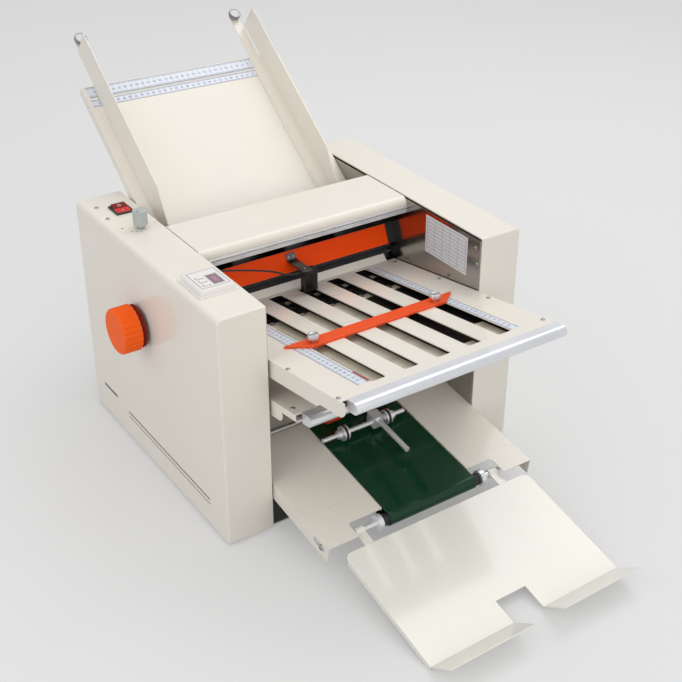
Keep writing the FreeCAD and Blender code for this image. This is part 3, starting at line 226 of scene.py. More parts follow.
# The studio: name, place and size of each lamp and where all look, half the floor's side, and the
# glow that keeps it pale
LAMPS = (("key", (1.2, 0.6, 2.4), 1.7), ("front", (-0.3, -2.4, 1.3), 1.8),
         ("left", (-2.2, -0.5, 1.3), 1.8))
LAMP_TARGET = (0.0, -0.05, 0.25)
FLOOR_HALF = 30.0
FLOOR_GLOW = 0.27

# What all finishes and pieces share
COAT_ROUGHNESS = 0.08
CREASE = math.radians(32.0)


def tint(red, green, blue):
    """A colour on the usual 0 to 255 scale, as Blender's linear colour."""
    return tuple(v / 255 / 12.92 if v <= 10 else ((v / 255 + 0.055) / 1.055) ** 2.4
                 for v in (red, green, blue))


def colour_property(name, description, red, green, blue):
    return FloatVectorProperty(name=name, description=description, subtype="COLOR", size=3, min=0, max=1,
                               default=tint(red, green, blue))


class FolderColours(bpy.types.PropertyGroup):
    """Colours of the machine's finishes."""

    enamel: colour_property("Enamel", "Covers, tray and fold plates", 237, 231, 220)
    catch_enamel: colour_property("Catch tray enamel", "Glossy enamel of the catch tray", 238, 235, 226)
    channel: colour_property("Channel lining", "Bare lower sheet inside the first fold plate", 212, 204, 186)
    # Painted shade: near black put on the lower sheet where it lies in shade round its windows and beside the
    # slots
    channel_dark: colour_property("Channel windows", "Dark lining round that sheet's windows", 20, 18, 16)
    guard: colour_property("Guard", "Orange enamel of the safety guard", 255, 78, 8)
    stop_bar: colour_property("Stop bars", "Orange enamel of the stop bars", 246, 84, 22)
    knob: colour_property("Hand knob", "Orange plastic of the hand knob", 255, 100, 22)
    # Painted shade: the dark red band behind the knob's grip stands in for the shade on its rear rim
    knob_groove: colour_property("Knob groove", "Dark ring behind the knob's grip", 130, 20, 8)
    belt: colour_property("Delivery belt", "Green of the delivery belt", 3, 56, 32)
    exit_rubber: colour_property("Exit rollers", "Orange-red rubber of the exit rollers", 236, 68, 24)
    roller_rubber: colour_property("Fold rollers", "Grey rubber of the fold and feed rollers", 44, 46, 48)
    black_rubber: colour_property("Black rubber", "Belts, wheels, feet and lead", 26, 26, 27)
    black_plastic: colour_property("Black plastic", "Sensor, switch frame and inlet", 14, 14, 15)
    rocker: colour_property("Rocker", "Red plastic of the switch rocker", 214, 22, 18)
    dial: colour_property("Speed dial", "Pale grey of the speed dial", 176, 181, 178)
    counter: colour_property("Counter", "Pale plastic of the counter and its keys", 238, 235, 231)
    counter_frame: colour_property("Counter frame", "Grey lines on the counter's face", 150, 144, 150)
    display: colour_property("Display", "Mauve window of the counter", 134, 98, 118)
    digits: colour_property("Display digits", "Pale digits in that window", 196, 150, 176)
    steel: colour_property("Stainless steel", "Side plates", 176, 174, 168)
    aluminium: colour_property("Aluminium", "Front trims and the ribbed strip", 230, 232, 237)
    zinc: colour_property("Zinc-plated steel", "Screws, bearings and base plate", 178, 179, 177)
    bracket: colour_property("Sensor bracket", "Dull plating of the sensor's bracket", 108, 108, 106)
    chrome: colour_property("Chrome", "Rods and thumb screws", 222, 224, 227)
    rods: colour_property("Cross rods", "Bright plating of rods and ribbed strip", 244, 245, 248)
    ruler: colour_property("Rulers", "Pale face of the rulers", 222, 228, 240)
    chart: colour_property("Chart plate", "Pale face of the chart plate", 214, 215, 220)
    ink: colour_property("Ink", "Printed lines and numbers", 34, 38, 52)
    red_mark: colour_property("Red mark", "Red mark beside the left ruler", 178, 32, 36)


def length_property(name, description, default, low, high):
    return FloatProperty(name=name, description=description, default=default, min=low, max=high,
                         unit="LENGTH")


def count_property(name, description, default, low, high):
    return IntProperty(name=name, description=description, default=default, min=low, max=high)


def power_property(name, description, default):
    return FloatProperty(name=name, description=description, default=default, min=0, unit="POWER")


class FolderSizes(bpy.types.PropertyGroup):
    """Sizes of the small pieces that aren't in the CAD frame."""

    edge_softness: length_property("Edge softness", "Radius of painted sheet's soft edges", 0.0006, 0, 0.003)
    ruler_thickness: length_property("Ruler thickness", "Thickness of the rulers", 0.0002, 0.00005, 0.0003)
    print_depth: length_property("Print depth", "Thickness of a printed line", 0.00006, 0.00001, 0.0002)
    tick_width: length_property("Tick width", "Width of a ruler's ticks", 0.0004, 0.0001, 0.001)
    number_height: length_property("Number height", "Height of a ruler's numbers", 0.0052, 0.002, 0.008)
    knurl_teeth: count_property("Knurl teeth", "Teeth round a thumb screw's head", 36, 12, 60)
    knurl_depth: length_property("Knurl depth", "Depth of a thumb screw's teeth", 0.0005, 0, 0.001)
    dial_ribs: count_property("Dial ribs", "Ribs round the speed dial", 18, 6, 40)


class FolderStudio(bpy.types.PropertyGroup):
    """Light and floor of the studio."""

    key_power: power_property("Key light", "Power of the large light over the right", 17.0)
    front_power: power_property("Front light", "Power of the soft light from the front", 12.0)
    left_power: power_property("Left light", "Power of the soft light from the left", 9.0)
    ambient: FloatProperty(name="Ambient light", description="Strength of the even light from all sides",
                           default=0.74, min=0, max=2)
    floor: colour_property("Floor", "Pale floor", 190, 190, 190)
    backdrop: colour_property("Backdrop", "Pale backdrop behind and above the machine", 214, 214, 214)


def colours():
    return bpy.context.scene.folder_colours


def sizes():
    return bpy.context.scene.folder_sizes


def at(x, y, z):
    return Matrix.Translation((x, y, z))


def turned(angle, axis):
    return Matrix.Rotation(angle, 4, axis)


def placed(y, z, tilt):
    """Matrix of a sheet that is tilted about its edge at (y, z)."""
    return at(MACHINE_X, MACHINE_Y + y, z) @ turned(math.radians(tilt), "X")


MACHINE = at(MACHINE_X, MACHINE_Y, 0)
FIRST_PLATE = placed(PLATE_Y, FIRST_PLATE_Z, PLATE_TILT)
GUARD = placed(PLATE_Y, GUARD_Z, GUARD_TILT)
THIRD_PLATE = placed(PLATE_Y, THIRD_PLATE_Z, PLATE_TILT)
TRAY = placed(0, TRAY_Z, TRAY_TILT)
DELIVERY = placed(DELIVERY_Y, DELIVERY_Z, DELIVERY_TILT)
ALONG_X = turned(math.pi / 2, "Y")
AGAINST_X = turned(-math.pi / 2, "Y")


def middle(node):
    low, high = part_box(node)
    return (low + high) / 2


# Node trees

class Graph:
    """Adds nodes to one tree and joins them."""

    def __init__(self, tree):
        self.tree = tree

    def feed(self, socket, value):
        """Links a socket to another one, or sets its own value."""
        if isinstance(value, bpy.types.NodeSocket):
            self.tree.links.new(value, socket)
        else:
            socket.default_value = value

    def node(self, kind, inputs=None, **settings):
        """A new node with its settings, and values or links for inputs by name or number."""
        node = self.tree.nodes.new(kind)
        for name, value in settings.items():
            setattr(node, name, value)
        for label, value in (inputs or {}).items():
            self.feed(node.inputs[label], value)
        return node

    def math(self, operation, first, second=0.0):
        return self.node("ShaderNodeMath", {0: first, 1: second}, operation=operation).outputs[0]

    def span(self, value, low, high, to_low=0.0, to_high=1.0):
        """The value's place between low and high, as a number from to_low to to_high."""
        inputs = {"Value": value, "From Min": low, "From Max": high, "To Min": to_low, "To Max": to_high}
        return self.node("ShaderNodeMapRange", inputs).outputs["Result"]

    def mix(self, factor, first, second, blend="MIX"):
        inputs = {0: factor, 6: first, 7: second}
        return self.node("ShaderNodeMix", inputs, data_type="RGBA", blend_type=blend).outputs[2]

    def mix_value(self, factor, first, second):
        return self.node("ShaderNodeMix", {0: factor, 2: first, 3: second}, data_type="FLOAT").outputs[0]

    def place(self):
        return self.node("ShaderNodeTexCoord").outputs["Object"]

    def axes(self):
        return self.node("ShaderNodeSeparateXYZ", {0: self.place()}).outputs

    def stretched(self, scale):
        """The place with each axis multiplied by its own scale."""
        inputs = {0: self.place(), 1: scale}
        return self.node("ShaderNodeVectorMath", inputs, operation="MULTIPLY").outputs[0]

    def noise(self, vector, scale, detail=2.0, roughness=0.5):
        inputs = {"Vector": vector, "Scale": scale, "Detail": detail, "Roughness": roughness}
        return self.node("ShaderNodeTexNoise", inputs).outputs[0]

    def bump(self, height, distance, normal):
        inputs = {"Height": height, "Distance": distance, "Normal": normal}
        return self.node("ShaderNodeBump", inputs).outputs[0]

    def between(self, value, low, high):
        """1 where a value lies between two others, and 0 elsewhere."""
        above = self.math("GREATER_THAN", value, low)
        return self.math("MULTIPLY", above, self.math("LESS_THAN", value, high))


SOCKET_KINDS = {1: "NodeSocketFloat", 3: "NodeSocketVector", 4: "NodeSocketColor"}
SKIN_OUTPUTS = {"Colour": 4, "Roughness": 1, "Normal": 3}


def new_group(name, inputs, outputs):
    """A node group with sockets only, from its inputs' values and its outputs' numbers of parts."""
    tree = bpy.data.node_groups.new(name, "ShaderNodeTree")
    for label, value in inputs.items():
        kind = SOCKET_KINDS[len(value) if isinstance(value, tuple) else 1]
        tree.interface.new_socket(label, in_out="INPUT", socket_type=kind).default_value = value
    for label, parts in outputs.items():
        tree.interface.new_socket(label, in_out="OUTPUT", socket_type=SOCKET_KINDS[parts])
    graph = Graph(tree)
    return graph, graph.node("NodeGroupInput").outputs, graph.node("NodeGroupOutput").inputs


def soft_edge_group(name):
    """Normals rounded at the edges, and a mask of where that is."""
    graph, source, target = new_group(name, {"Radius": 0.0006}, {"Normal": 3, "Edge": 1})
    rounded = graph.node("ShaderNodeBevel", {"Radius": source["Radius"]}, samples=4).outputs[0]
    flat = graph.node("ShaderNodeNewGeometry").outputs["Normal"]
    dot = graph.node("ShaderNodeVectorMath", {0: rounded, 1: flat}, operation="DOT_PRODUCT").outputs["Value"]
    graph.feed(target["Normal"], rounded)
    graph.feed(target["Edge"], graph.span(dot, 0.995, 0.90))
    return graph.tree


def soft_edge(graph, radius):
    outputs = graph.node("ShaderNodeGroup", {"Radius": radius}, node_tree=shared("Soft Edge")).outputs
    return outputs["Normal"], outputs["Edge"]


def enamel_group(name):
    """Sprayed enamel: faint clouds in the colour, orange peel, worn gloss and lighter edges."""
    inputs = {"Colour": (1, 1, 1, 1), "Gloss Low": 0.3, "Gloss High": 0.4, "Clouds": 0.03, "Peel": 0.00002,
              "Edge Radius": 0.0006}
    graph, source, target = new_group(name, inputs, SKIN_OUTPUTS)
    place = graph.place()
    clouds = graph.noise(place, 7.0, 3.0)
    specks = graph.noise(place, 1400.0, 1.0)
    normal, edge = soft_edge(graph, source["Edge Radius"])
    shade = graph.span(clouds, 0.3, 0.7, graph.math("SUBTRACT", 1.0, source["Clouds"]), 1.0)
    shade = graph.math("MULTIPLY", shade, graph.span(specks, 0.2, 0.8, 0.985, 1.01))
    toned = graph.mix(1.0, source["Colour"], shade, "MULTIPLY")
    smears = graph.noise(graph.stretched((3.0, 14.0, 9.0)), 2.2, 4.0, 0.6)
    graph.feed(target["Colour"], graph.mix(graph.math("MULTIPLY", edge, 0.25), toned, (1.0, 0.99, 0.97, 1.0)))
    graph.feed(target["Roughness"], graph.span(smears, 0.3, 0.7, source["Gloss Low"], source["Gloss High"]))
    graph.feed(target["Normal"], graph.bump(graph.noise(place, 420.0), source["Peel"], normal))
    return graph.tree


def metal_group(name):
    """Drawn or polished metal: long fine grain, uneven shine and bright edges."""
    inputs = {"Colour": (0.6, 0.6, 0.6, 1), "Polish Low": 0.15, "Polish High": 0.3,
              "Grain": (20.0, 1500.0, 1500.0), "Grain Depth": 0.000004, "Edge Radius": 0.0003}
    graph, source, target = new_group(name, inputs, SKIN_OUTPUTS)
    grain = graph.noise(graph.stretched(source["Grain"]), 1.0)
    cloud = graph.noise(graph.place(), 18.0, 3.0)
    normal, edge = soft_edge(graph, source["Edge Radius"])
    fine = graph.span(grain, 0.25, 0.75, 0.93, 1.04)
    shade = graph.math("MULTIPLY", fine, graph.span(cloud, 0.3, 0.7, 0.96, 1.02))
    toned = graph.mix(1.0, source["Colour"], shade, "MULTIPLY")
    graph.feed(target["Colour"], graph.mix(graph.math("MULTIPLY", edge, 0.3), toned, (0.95, 0.95, 0.95, 1.0)))
    polish = graph.span(cloud, 0.3, 0.7, source["Polish Low"], source["Polish High"])
    graph.feed(target["Roughness"], graph.math("ADD", polish, graph.span(grain, 0.2, 0.8, -0.02, 0.02)))
    graph.feed(target["Normal"], graph.bump(grain, source["Grain Depth"], normal))
    return graph.tree


def moulded_group(name):
    """Moulded plastic or rubber: fine spark texture, a little bloom and paler rubbed edges."""
    inputs = {"Colour": (0.1, 0.1, 0.1, 1), "Shine Low": 0.4, "Shine High": 0.55, "Bloom": 0.06,
              "Texture Scale": 900.0, "Texture Depth": 0.00003, "Edge Radius": 0.0004}
    graph, source, target = new_group(name, inputs, SKIN_OUTPUTS)
    place = graph.place()
    bloom = graph.noise(place, 45.0, 4.0, 0.6)
    normal, edge = soft_edge(graph, source["Edge Radius"])
    haze = graph.math("MULTIPLY", graph.span(bloom, 0.35, 0.75), source["Bloom"])
    dull = graph.mix(haze, source["Colour"], (0.55, 0.55, 0.55, 1.0))
    graph.feed(target["Colour"], graph.mix(graph.math("MULTIPLY", edge, 0.12), dull, (0.7, 0.7, 0.7, 1.0)))
    graph.feed(target["Roughness"], graph.span(bloom, 0.3, 0.7, source["Shine Low"], source["Shine High"]))
    grain = graph.noise(place, source["Texture Scale"])
    graph.feed(target["Normal"], graph.bump(grain, source["Texture Depth"], normal))
    return graph.tree


GROUPS = {"Soft Edge": soft_edge_group, "Sprayed Enamel": enamel_group, "Metal Grain": metal_group,
          "Moulded Skin": moulded_group}


def shared(name):
    """A node group by name, built the first time it is asked for."""
    return bpy.data.node_groups.get(name) or GROUPS[name](name)


# Materials

def solid(colour):
    return (*colour, 1.0)


def darker(colour, share):
    return [value * share for value in colour]


def new_material(name, metallic=0.0, coat=0.0, specular=0.5):
    """A material with its graph and shader; what varies is linked to the shader afterwards."""
    material = bpy.data.materials.new(name)
    material.use_nodes = True
    shader = material.node_tree.nodes["Principled BSDF"]
    for label, value in (("Metallic", metallic), ("Coat Weight", coat), ("Coat Roughness", COAT_ROUGHNESS),
                         ("Specular IOR Level", specular)):
        shader.inputs[label].default_value = value
    return material, Graph(material.node_tree), shader


def skin(graph, group, colour, **values):
    """A shared group with a material's values; the colour is three numbers or a function of the graph."""
    values["Colour"] = colour(graph) if callable(colour) else solid(colour)
    inputs = {label.replace("_", " "): value for label, value in values.items()}
    return graph.node("ShaderNodeGroup", inputs, node_tree=shared(group)).outputs


def finish(name, group, colour, metallic=0.0, coat=0.0, specular=0.5, **values):
    """A material that wears one shared group, made the first time it is asked for."""
    if name in bpy.data.materials:
        return bpy.data.materials[name]
    material, graph, shader = new_material(name, metallic, coat, specular)
    outputs = skin(graph, group, colour, **values)
    for label, output in (("Base Color", "Colour"), ("Roughness", "Roughness"), ("Normal", "Normal")):
        graph.feed(shader.inputs[label], outputs[output])
    return material


def enamel(name, colour, gloss, coat=0.35, clouds=0.03, peel=0.00002, specular=0.5, edge=None):
    return finish(name, "Sprayed Enamel", colour, coat=coat, specular=specular, Gloss_Low=gloss[0],
                  Gloss_High=gloss[1], Clouds=clouds, Peel=peel, Edge_Radius=edge or sizes().edge_softness)


def metal(name, colour, polish, grain, depth, metallic=1.0):
    return finish(name, "Metal Grain", colour, metallic, Polish_Low=polish[0], Polish_High=polish[1],
                  Grain=grain, Grain_Depth=depth)


def moulded(name, colour, shine, bloom=0.05, scale=900.0, depth=0.00003, coat=0.0, specular=0.5, edge=0.0004):
    return finish(name, "Moulded Skin", colour, coat=coat, specular=specular, Shine_Low=shine[0],
                  Shine_High=shine[1], Bloom=bloom, Texture_Scale=scale, Texture_Depth=depth,
                  Edge_Radius=edge)


def printed(name, colour, shine, bloom=0.02, coat=0.0):
    """A print or film with hardly any texture."""
    return moulded(name, colour, shine, bloom, scale=2500.0, depth=0.000004, coat=coat)


def part_steel(name, colour, shine, mask, steel):
    """Moulded skin where the mask is 1 and turned steel elsewhere, for two stuffs in one node."""
    material, graph, shader = new_material(name, specular=0.3)
    soft = skin(graph, "Moulded Skin", colour, Shine_Low=shine[0], Shine_High=shine[1], Bloom=0.05)
    hard = skin(graph, "Metal Grain", steel, Polish_Low=0.2, Polish_High=0.32)
    here = mask(graph)
    graph.feed(shader.inputs["Base Color"], graph.mix(here, hard["Colour"], soft["Colour"]))
    graph.feed(shader.inputs["Roughness"], graph.mix_value(here, hard["Roughness"], soft["Roughness"]))
    graph.feed(shader.inputs["Metallic"], graph.math("SUBTRACT", 1.0, here))
    graph.feed(shader.inputs["Normal"], soft["Normal"])
    return material


def between_x(low, high):
    """Mask of what lies between two places along the machine's width."""
    return lambda graph: graph.between(graph.axes()[0], low, high)


def beyond_y(place):
    """Mask of what lies behind a place."""
    return lambda graph: graph.math("GREATER_THAN", graph.axes()[1], place)


def below_z(height):
    """Mask of what lies below a height."""
    return lambda graph: graph.math("LESS_THAN", graph.axes()[2], height)


def beyond_radius(centre, radius):
    """Mask of what lies further than a radius from an axis along X."""
    def mask(graph):
        axes = graph.axes()
        flat = graph.node("ShaderNodeCombineXYZ", {1: graph.math("SUBTRACT", axes[1], centre.y),
                                                   2: graph.math("SUBTRACT", axes[2], centre.z)})
        length = graph.node("ShaderNodeVectorMath", {0: flat.outputs[0]}, operation="LENGTH")
        return graph.math("GREATER_THAN", length.outputs["Value"], radius)
    return mask


def two_tone(mask, elsewhere, here):
    """Colour for a finish that changes where the mask is 1."""
    return lambda graph: graph.mix(mask(graph), solid(elsewhere), solid(here))


def channel_colour(graph):
    """Bare grey sheet, with painted shade round its windows and painted shadow along the slots above it."""
    axes = graph.axes()
    # Painted shade: the listed areas and the strips beside each slot are made near black
    dark = 0.0
    for near, far, left, right in PAINTED_SHADE_AREAS:
        zone = graph.math("MULTIPLY", graph.between(axes[0], MACHINE_X + left, MACHINE_X + right),
                          graph.between(axes[1], MACHINE_Y + near, MACHINE_Y + far))
        dark = graph.math("MAXIMUM", dark, zone)
    across = graph.math("SUBTRACT", axes[0], MACHINE_X - SLOT_PITCH * 3)
    shade = graph.between(graph.math("MODULO", across, SLOT_PITCH), *SLOT_SHADE)
    dark = graph.math("MAXIMUM", dark, shade)
    blotches = graph.span(graph.noise(graph.stretched((4.0, 22.0, 4.0)), 1.0), 0.45, 0.75, 0.0, 0.5)
    bare = graph.mix(blotches, solid(colours().channel), solid(darker(colours().channel, 0.35)))
    return graph.mix(dark, bare, solid(colours().channel_dark))


def body_enamel():
    return enamel("body_enamel", colours().enamel, (0.34, 0.44))


def plate_enamel():
    return enamel("plate_enamel", colours().enamel, (0.26, 0.38), coat=0.45)


def zinc():
    return metal("zinc_plated_steel", colours().zinc, (0.24, 0.40), (300.0, 300.0, 300.0), 0.000008)


def chrome():
    return metal("chrome_plate", colours().chrome, (0.05, 0.09), (60.0, 500.0, 500.0), 0.000001)


def satin_chrome():
    return metal("satin_chrome", colours().rods, (0.16, 0.24), (4.0, 60.0, 60.0), 0.000001, 0.55)


# Painted shade: a darker copy of the chrome, for the guides' thumb screws, in place of darker reflections
def dark_chrome():
    return metal("dark_chrome", darker(colours().chrome, 0.4), (0.12, 0.2), (60.0, 500.0, 500.0), 0.000001)


def black_rubber():
    return moulded("black_rubber", colours().black_rubber, (0.55, 0.7), bloom=0.08)


def ink():
    return printed("printing_ink", colours().ink, (0.4, 0.5))


# Mesh pieces

def dress(material, *nodes):
    """Gives CAD nodes a finish."""
    for node in nodes:
        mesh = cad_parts[node].data
        mesh.materials.clear()
        mesh.materials.append(material)


def add_block(bm, matrix, low, high, material=0):
    """A box between two corners of a tilted frame."""
    corners = [bm.verts.new(matrix @ Vector((x, y, z)))
               for x in (low[0], high[0]) for y in (low[1], high[1]) for z in (low[2], high[2])]
    for numbers in ((0, 1, 3, 2), (4, 6, 7, 5), (0, 4, 5, 1), (2, 3, 7, 6), (0, 2, 6, 4), (1, 5, 7, 3)):
        bm.faces.new([corners[number] for number in numbers]).material_index = material


def add_turned(bm, matrix, profile, segments, material=0, relief=None, closed=False):
    """Turns a profile of (radius, height) points about the frame's Z axis."""
    rings = []
    for radius, height in profile:
        if radius == 0:
            rings.append([bm.verts.new(matrix @ Vector((0, 0, height)))])
            continue
        ring = []
        for step in range(segments):
            turn = 2 * math.pi * step / segments
            reach = radius + (relief(turn, radius) if relief else 0)
            point = Vector((reach * math.cos(turn), reach * math.sin(turn), height))
            ring.append(bm.verts.new(matrix @ point))
        rings.append(ring)
    pairs = list(zip(rings, rings[1:]))
    if closed:
        pairs.append((rings[-1], rings[0]))
    for low, high in pairs:
        for step in range(segments):
            following = (step + 1) % segments
            if len(low) == 1:
                corners = (low[0], high[following], high[step])
            elif len(high) == 1:
                corners = (low[step], low[following], high[0])
            else:
                corners = (low[step], low[following], high[following], high[step])
            bm.faces.new(corners).material_index = material


def add_mesh(bm, mesh, matrix, material=0):
    """Adds a copy of a mesh at a place."""
    copy = mesh.copy()
    copy.transform(matrix)
    first = len(bm.faces)
    bm.from_mesh(copy)
    bm.faces.ensure_lookup_table()
    for face in bm.faces[first:]:
        face.material_index = material
    bpy.data.meshes.remove(copy)


def add_number(bm, words, height, matrix):
    """Adds printed characters, centred on a place, in the piece's second material."""
    curve = bpy.data.curves.new("number", "FONT")
    curve.body = words
    curve.size = height
    curve.align_x = "CENTER"
    curve.align_y = "CENTER"
    curve.extrude = sizes().print_depth / 2
    curve.resolution_u = 3
    source = link("number", curve)
    graph = bpy.context.evaluated_depsgraph_get()
    mesh = bpy.data.meshes.new_from_object(source.evaluated_get(graph))
    bpy.data.objects.remove(source)
    bpy.data.curves.remove(curve)
    add_mesh(bm, mesh, matrix, 1)
    bpy.data.meshes.remove(mesh)


def link(name, data):
    """An object for a mesh, curve, lamp or camera, in the scene."""
    thing = bpy.data.objects.new(name, data)
    bpy.context.collection.objects.link(thing)
    return thing


def as_mesh(bm, name):
    """Turns a bmesh into a mesh and frees it."""
    mesh = bpy.data.meshes.new(name)
    bm.to_mesh(mesh)
    bm.free()
    return mesh


def make_piece(name, bm, materials, body="machine", replaces=()):
    """Turns a bmesh into a piece that rides on a CAD body."""
    bmesh.ops.recalc_face_normals(bm, faces=bm.faces)
    mesh = as_mesh(bm, name)
    for material in materials:
        mesh.materials.append(material)
    mesh.polygons.foreach_set("use_smooth", [True] * len(mesh.polygons))
    mesh.set_sharp_from_angle(angle=CREASE)
    piece = link(name, mesh)
    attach(piece, body)
    if replaces:
        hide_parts(*replaces)


def cross_head_mesh():
    """A pan-head screw with a cross recess, as wide and high as the plate screws."""
    head = bmesh.new()
    edge = SCREW_HEIGHT / 4
    dome = [(0, 0), (SCREW_RADIUS, 0), (SCREW_RADIUS, edge)]
    for step in range(1, DOME_STEPS + 1):
        turn = math.pi / 2 * step / DOME_STEPS
        dome.append((SCREW_RADIUS * math.cos(turn) if step < DOME_STEPS else 0,
                     edge + (SCREW_HEIGHT - edge) * math.sin(turn)))
    add_turned(head, Matrix.Identity(4), dome, 32)
    bmesh.ops.recalc_face_normals(head, faces=head.faces)
    cutter = bmesh.new()
    arm = SCREW_RADIUS * RECESS_ARM
    half = SCREW_RADIUS * RECESS_HALF
    outline = [(arm, half), (half, half), (half, arm), (-half, arm), (-half, half), (-arm, half),
               (-arm, -half), (-half, -half), (-half, -arm), (half, -arm), (half, -half), (arm, -half)]
    floor, lid = ([cutter.verts.new((x, y, SCREW_HEIGHT * level)) for x, y in outline]
                  for level in RECESS_LEVELS)
    cutter.faces.new(floor)
    cutter.faces.new(lid)
    for step, corner in enumerate(floor):
        following = (step + 1) % len(floor)
        cutter.faces.new((corner, floor[following], lid[following], lid[step]))
    bmesh.ops.recalc_face_normals(cutter, faces=cutter.faces)
    blank = link("screw_blank", as_mesh(head, "screw_blank"))
    recess = link("screw_recess", as_mesh(cutter, "screw_recess"))
    cut = blank.modifiers.new("recess", "BOOLEAN")
    cut.operation = "DIFFERENCE"
    cut.solver = "EXACT"
    cut.object = recess
    graph = bpy.context.evaluated_depsgraph_get()
    mesh = bpy.data.meshes.new_from_object(blank.evaluated_get(graph))
    for source in (blank, recess):
        bpy.data.objects.remove(source)
    return mesh


def widened(low, high, by):
    return low - by, high + by


def both_ways(profile):
    """A wheel's whole profile, from its half at one side."""
    return profile + [(radius, -level) for radius, level in reversed(profile)]


# Operators

class FolderOperator:
    """What the machine's operators share."""

    bl_options = {"REGISTER", "UNDO"}

    def execute(self, context):
        self.make()
        return {"FINISHED"}


class FOLDER_OT_housing(FolderOperator, bpy.types.Operator):
    """Enamel on the covers, steel on the side plates and base, and the printed stripes"""

    bl_idname = "folder.housing"
    bl_label = "Housing"

    def make(self):
        dress(body_enamel(), "left_cover", "right_cover", "top_cover")
        steel = metal("brushed_stainless", colours().steel, (0.14, 0.22), (900.0, 12.0, 900.0), 0.000004)
        dress(steel, "left_side_plate", "right_side_plate")
        dress(zinc(), "base_plate", "bearings")
        dress(black_rubber(), "rubber_feet")
        bm = bmesh.new()
        depth = sizes().print_depth
        for start, end, low, high in STRIPES:
            add_block(bm, MACHINE, (COVER_SIDE - depth, start, low), (COVER_SIDE, end, high))
        make_piece("cover_stripes", bm, [ink()])


class FOLDER_OT_trims(FolderOperator, bpy.types.Operator):
    """Bright front trims, cross rods and the ribbed strip"""

    bl_idname = "folder.trims"
    bl_label = "Trims and rods"

    def make(self):
        trim = metal("satin_aluminium", colours().aluminium, (0.34, 0.44), (10.0, 900.0, 900.0), 0.000003,
                     0.7)
        dress(trim, "plate_trims", "motor_pulley")
        dress(satin_chrome(), "cross_rods", "press_arm", "press_carriage")


class FOLDER_OT_guard(FolderOperator, bpy.types.Operator):
    """Orange guard, its black brackets and the photo sensor"""

    bl_idname = "folder.guard"
    bl_label = "Guard and sensor"

    def make(self):
        orange = enamel("guard_enamel", colours().guard, (0.34, 0.44), coat=0.0, clouds=0.06, specular=0.12)
        dress(orange, "orange_guard")
        black = moulded("black_paint", colours().black_plastic, (0.28, 0.4), bloom=0.04, specular=0.35)
        dress(black, "guard_brackets", "motor")
        arm_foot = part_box("photo_sensor")[0].z + SENSOR_BLOCK_HEIGHT
        dress(part_steel("sensor_black_and_zinc", colours().black_plastic, (0.3, 0.42), below_z(arm_foot),
                         colours().bracket), "photo_sensor")


class FOLDER_OT_lead(FolderOperator, bpy.types.Operator):
    """The sensor's black lead from the left side plate"""

    bl_idname = "folder.lead"
    bl_label = "Sensor lead"

    def make(self):
        points = [MACHINE @ Vector(point) for point in LEAD_POINTS]
        curve = bpy.data.curves.new("sensor_cable", "CURVE")
        curve.dimensions = "3D"
        curve.bevel_depth = LEAD_DIAMETER / 2
        curve.bevel_resolution = 5
        curve.resolution_u = 12
        curve.use_fill_caps = True
        spline = curve.splines.new("NURBS")
        spline.points.add(len(points) - 1)
        for knot, point in zip(spline.points, points):
            knot.co = (*point, 1.0)
        spline.order_u = 3
        spline.use_endpoint_u = True
        curve.materials.append(moulded("lead_jacket", colours().black_rubber, (0.38, 0.5), bloom=0.03))
        lead = link("sensor_cable", curve)
        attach(lead, "machine")
        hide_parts("sensor_lead")


class FOLDER_OT_feed_tray(FolderOperator, bpy.types.Operator):
    """Enamel on the paper guides and on the feed tray, with painted shade, black, on its ramp under the top
    cover
    """

    bl_idname = "folder.feed_tray"
    bl_label = "Feed tray and guides"

    def make(self):
        dress(body_enamel(), "guide_left", "guide_right")
        # Painted shade: the tray's ramp below this height, in shadow under the top cover, is made black
        tone = two_tone(below_z(TRAY_RAMP_TOP), colours().enamel, colours().black_plastic)
        dress(enamel("tray_enamel", tone, (0.34, 0.44)), "feed_tray")


class FOLDER_OT_fold_plates(FolderOperator, bpy.types.Operator):
    """Enamel on the fold plates, with painted shade on the first plate's lower sheet, and orange on their stop
    bars
    """

    bl_idname = "folder.fold_plates"
    bl_label = "Fold plates and stop bars"

    def make(self):
        dress(plate_enamel(), "plate_1_upper", "plate_3_upper", "plate_3_lower", "rear_plates")
        # The first plate's lower sheet carries painted shade round its windows and beside its slots
        dress(enamel("channel_lining", channel_colour, (0.3, 0.42), coat=0.0, clouds=0.05, specular=0.35,
                     edge=0.0003), "plate_1_lower")
        orange = enamel("stop_bar_enamel", colours().stop_bar, (0.32, 0.42), coat=0.0, clouds=0.05,
                        specular=0.2)
        dress(orange, "stop_bar_1", "stop_bar_2", "stop_bar_3", "stop_bar_4")


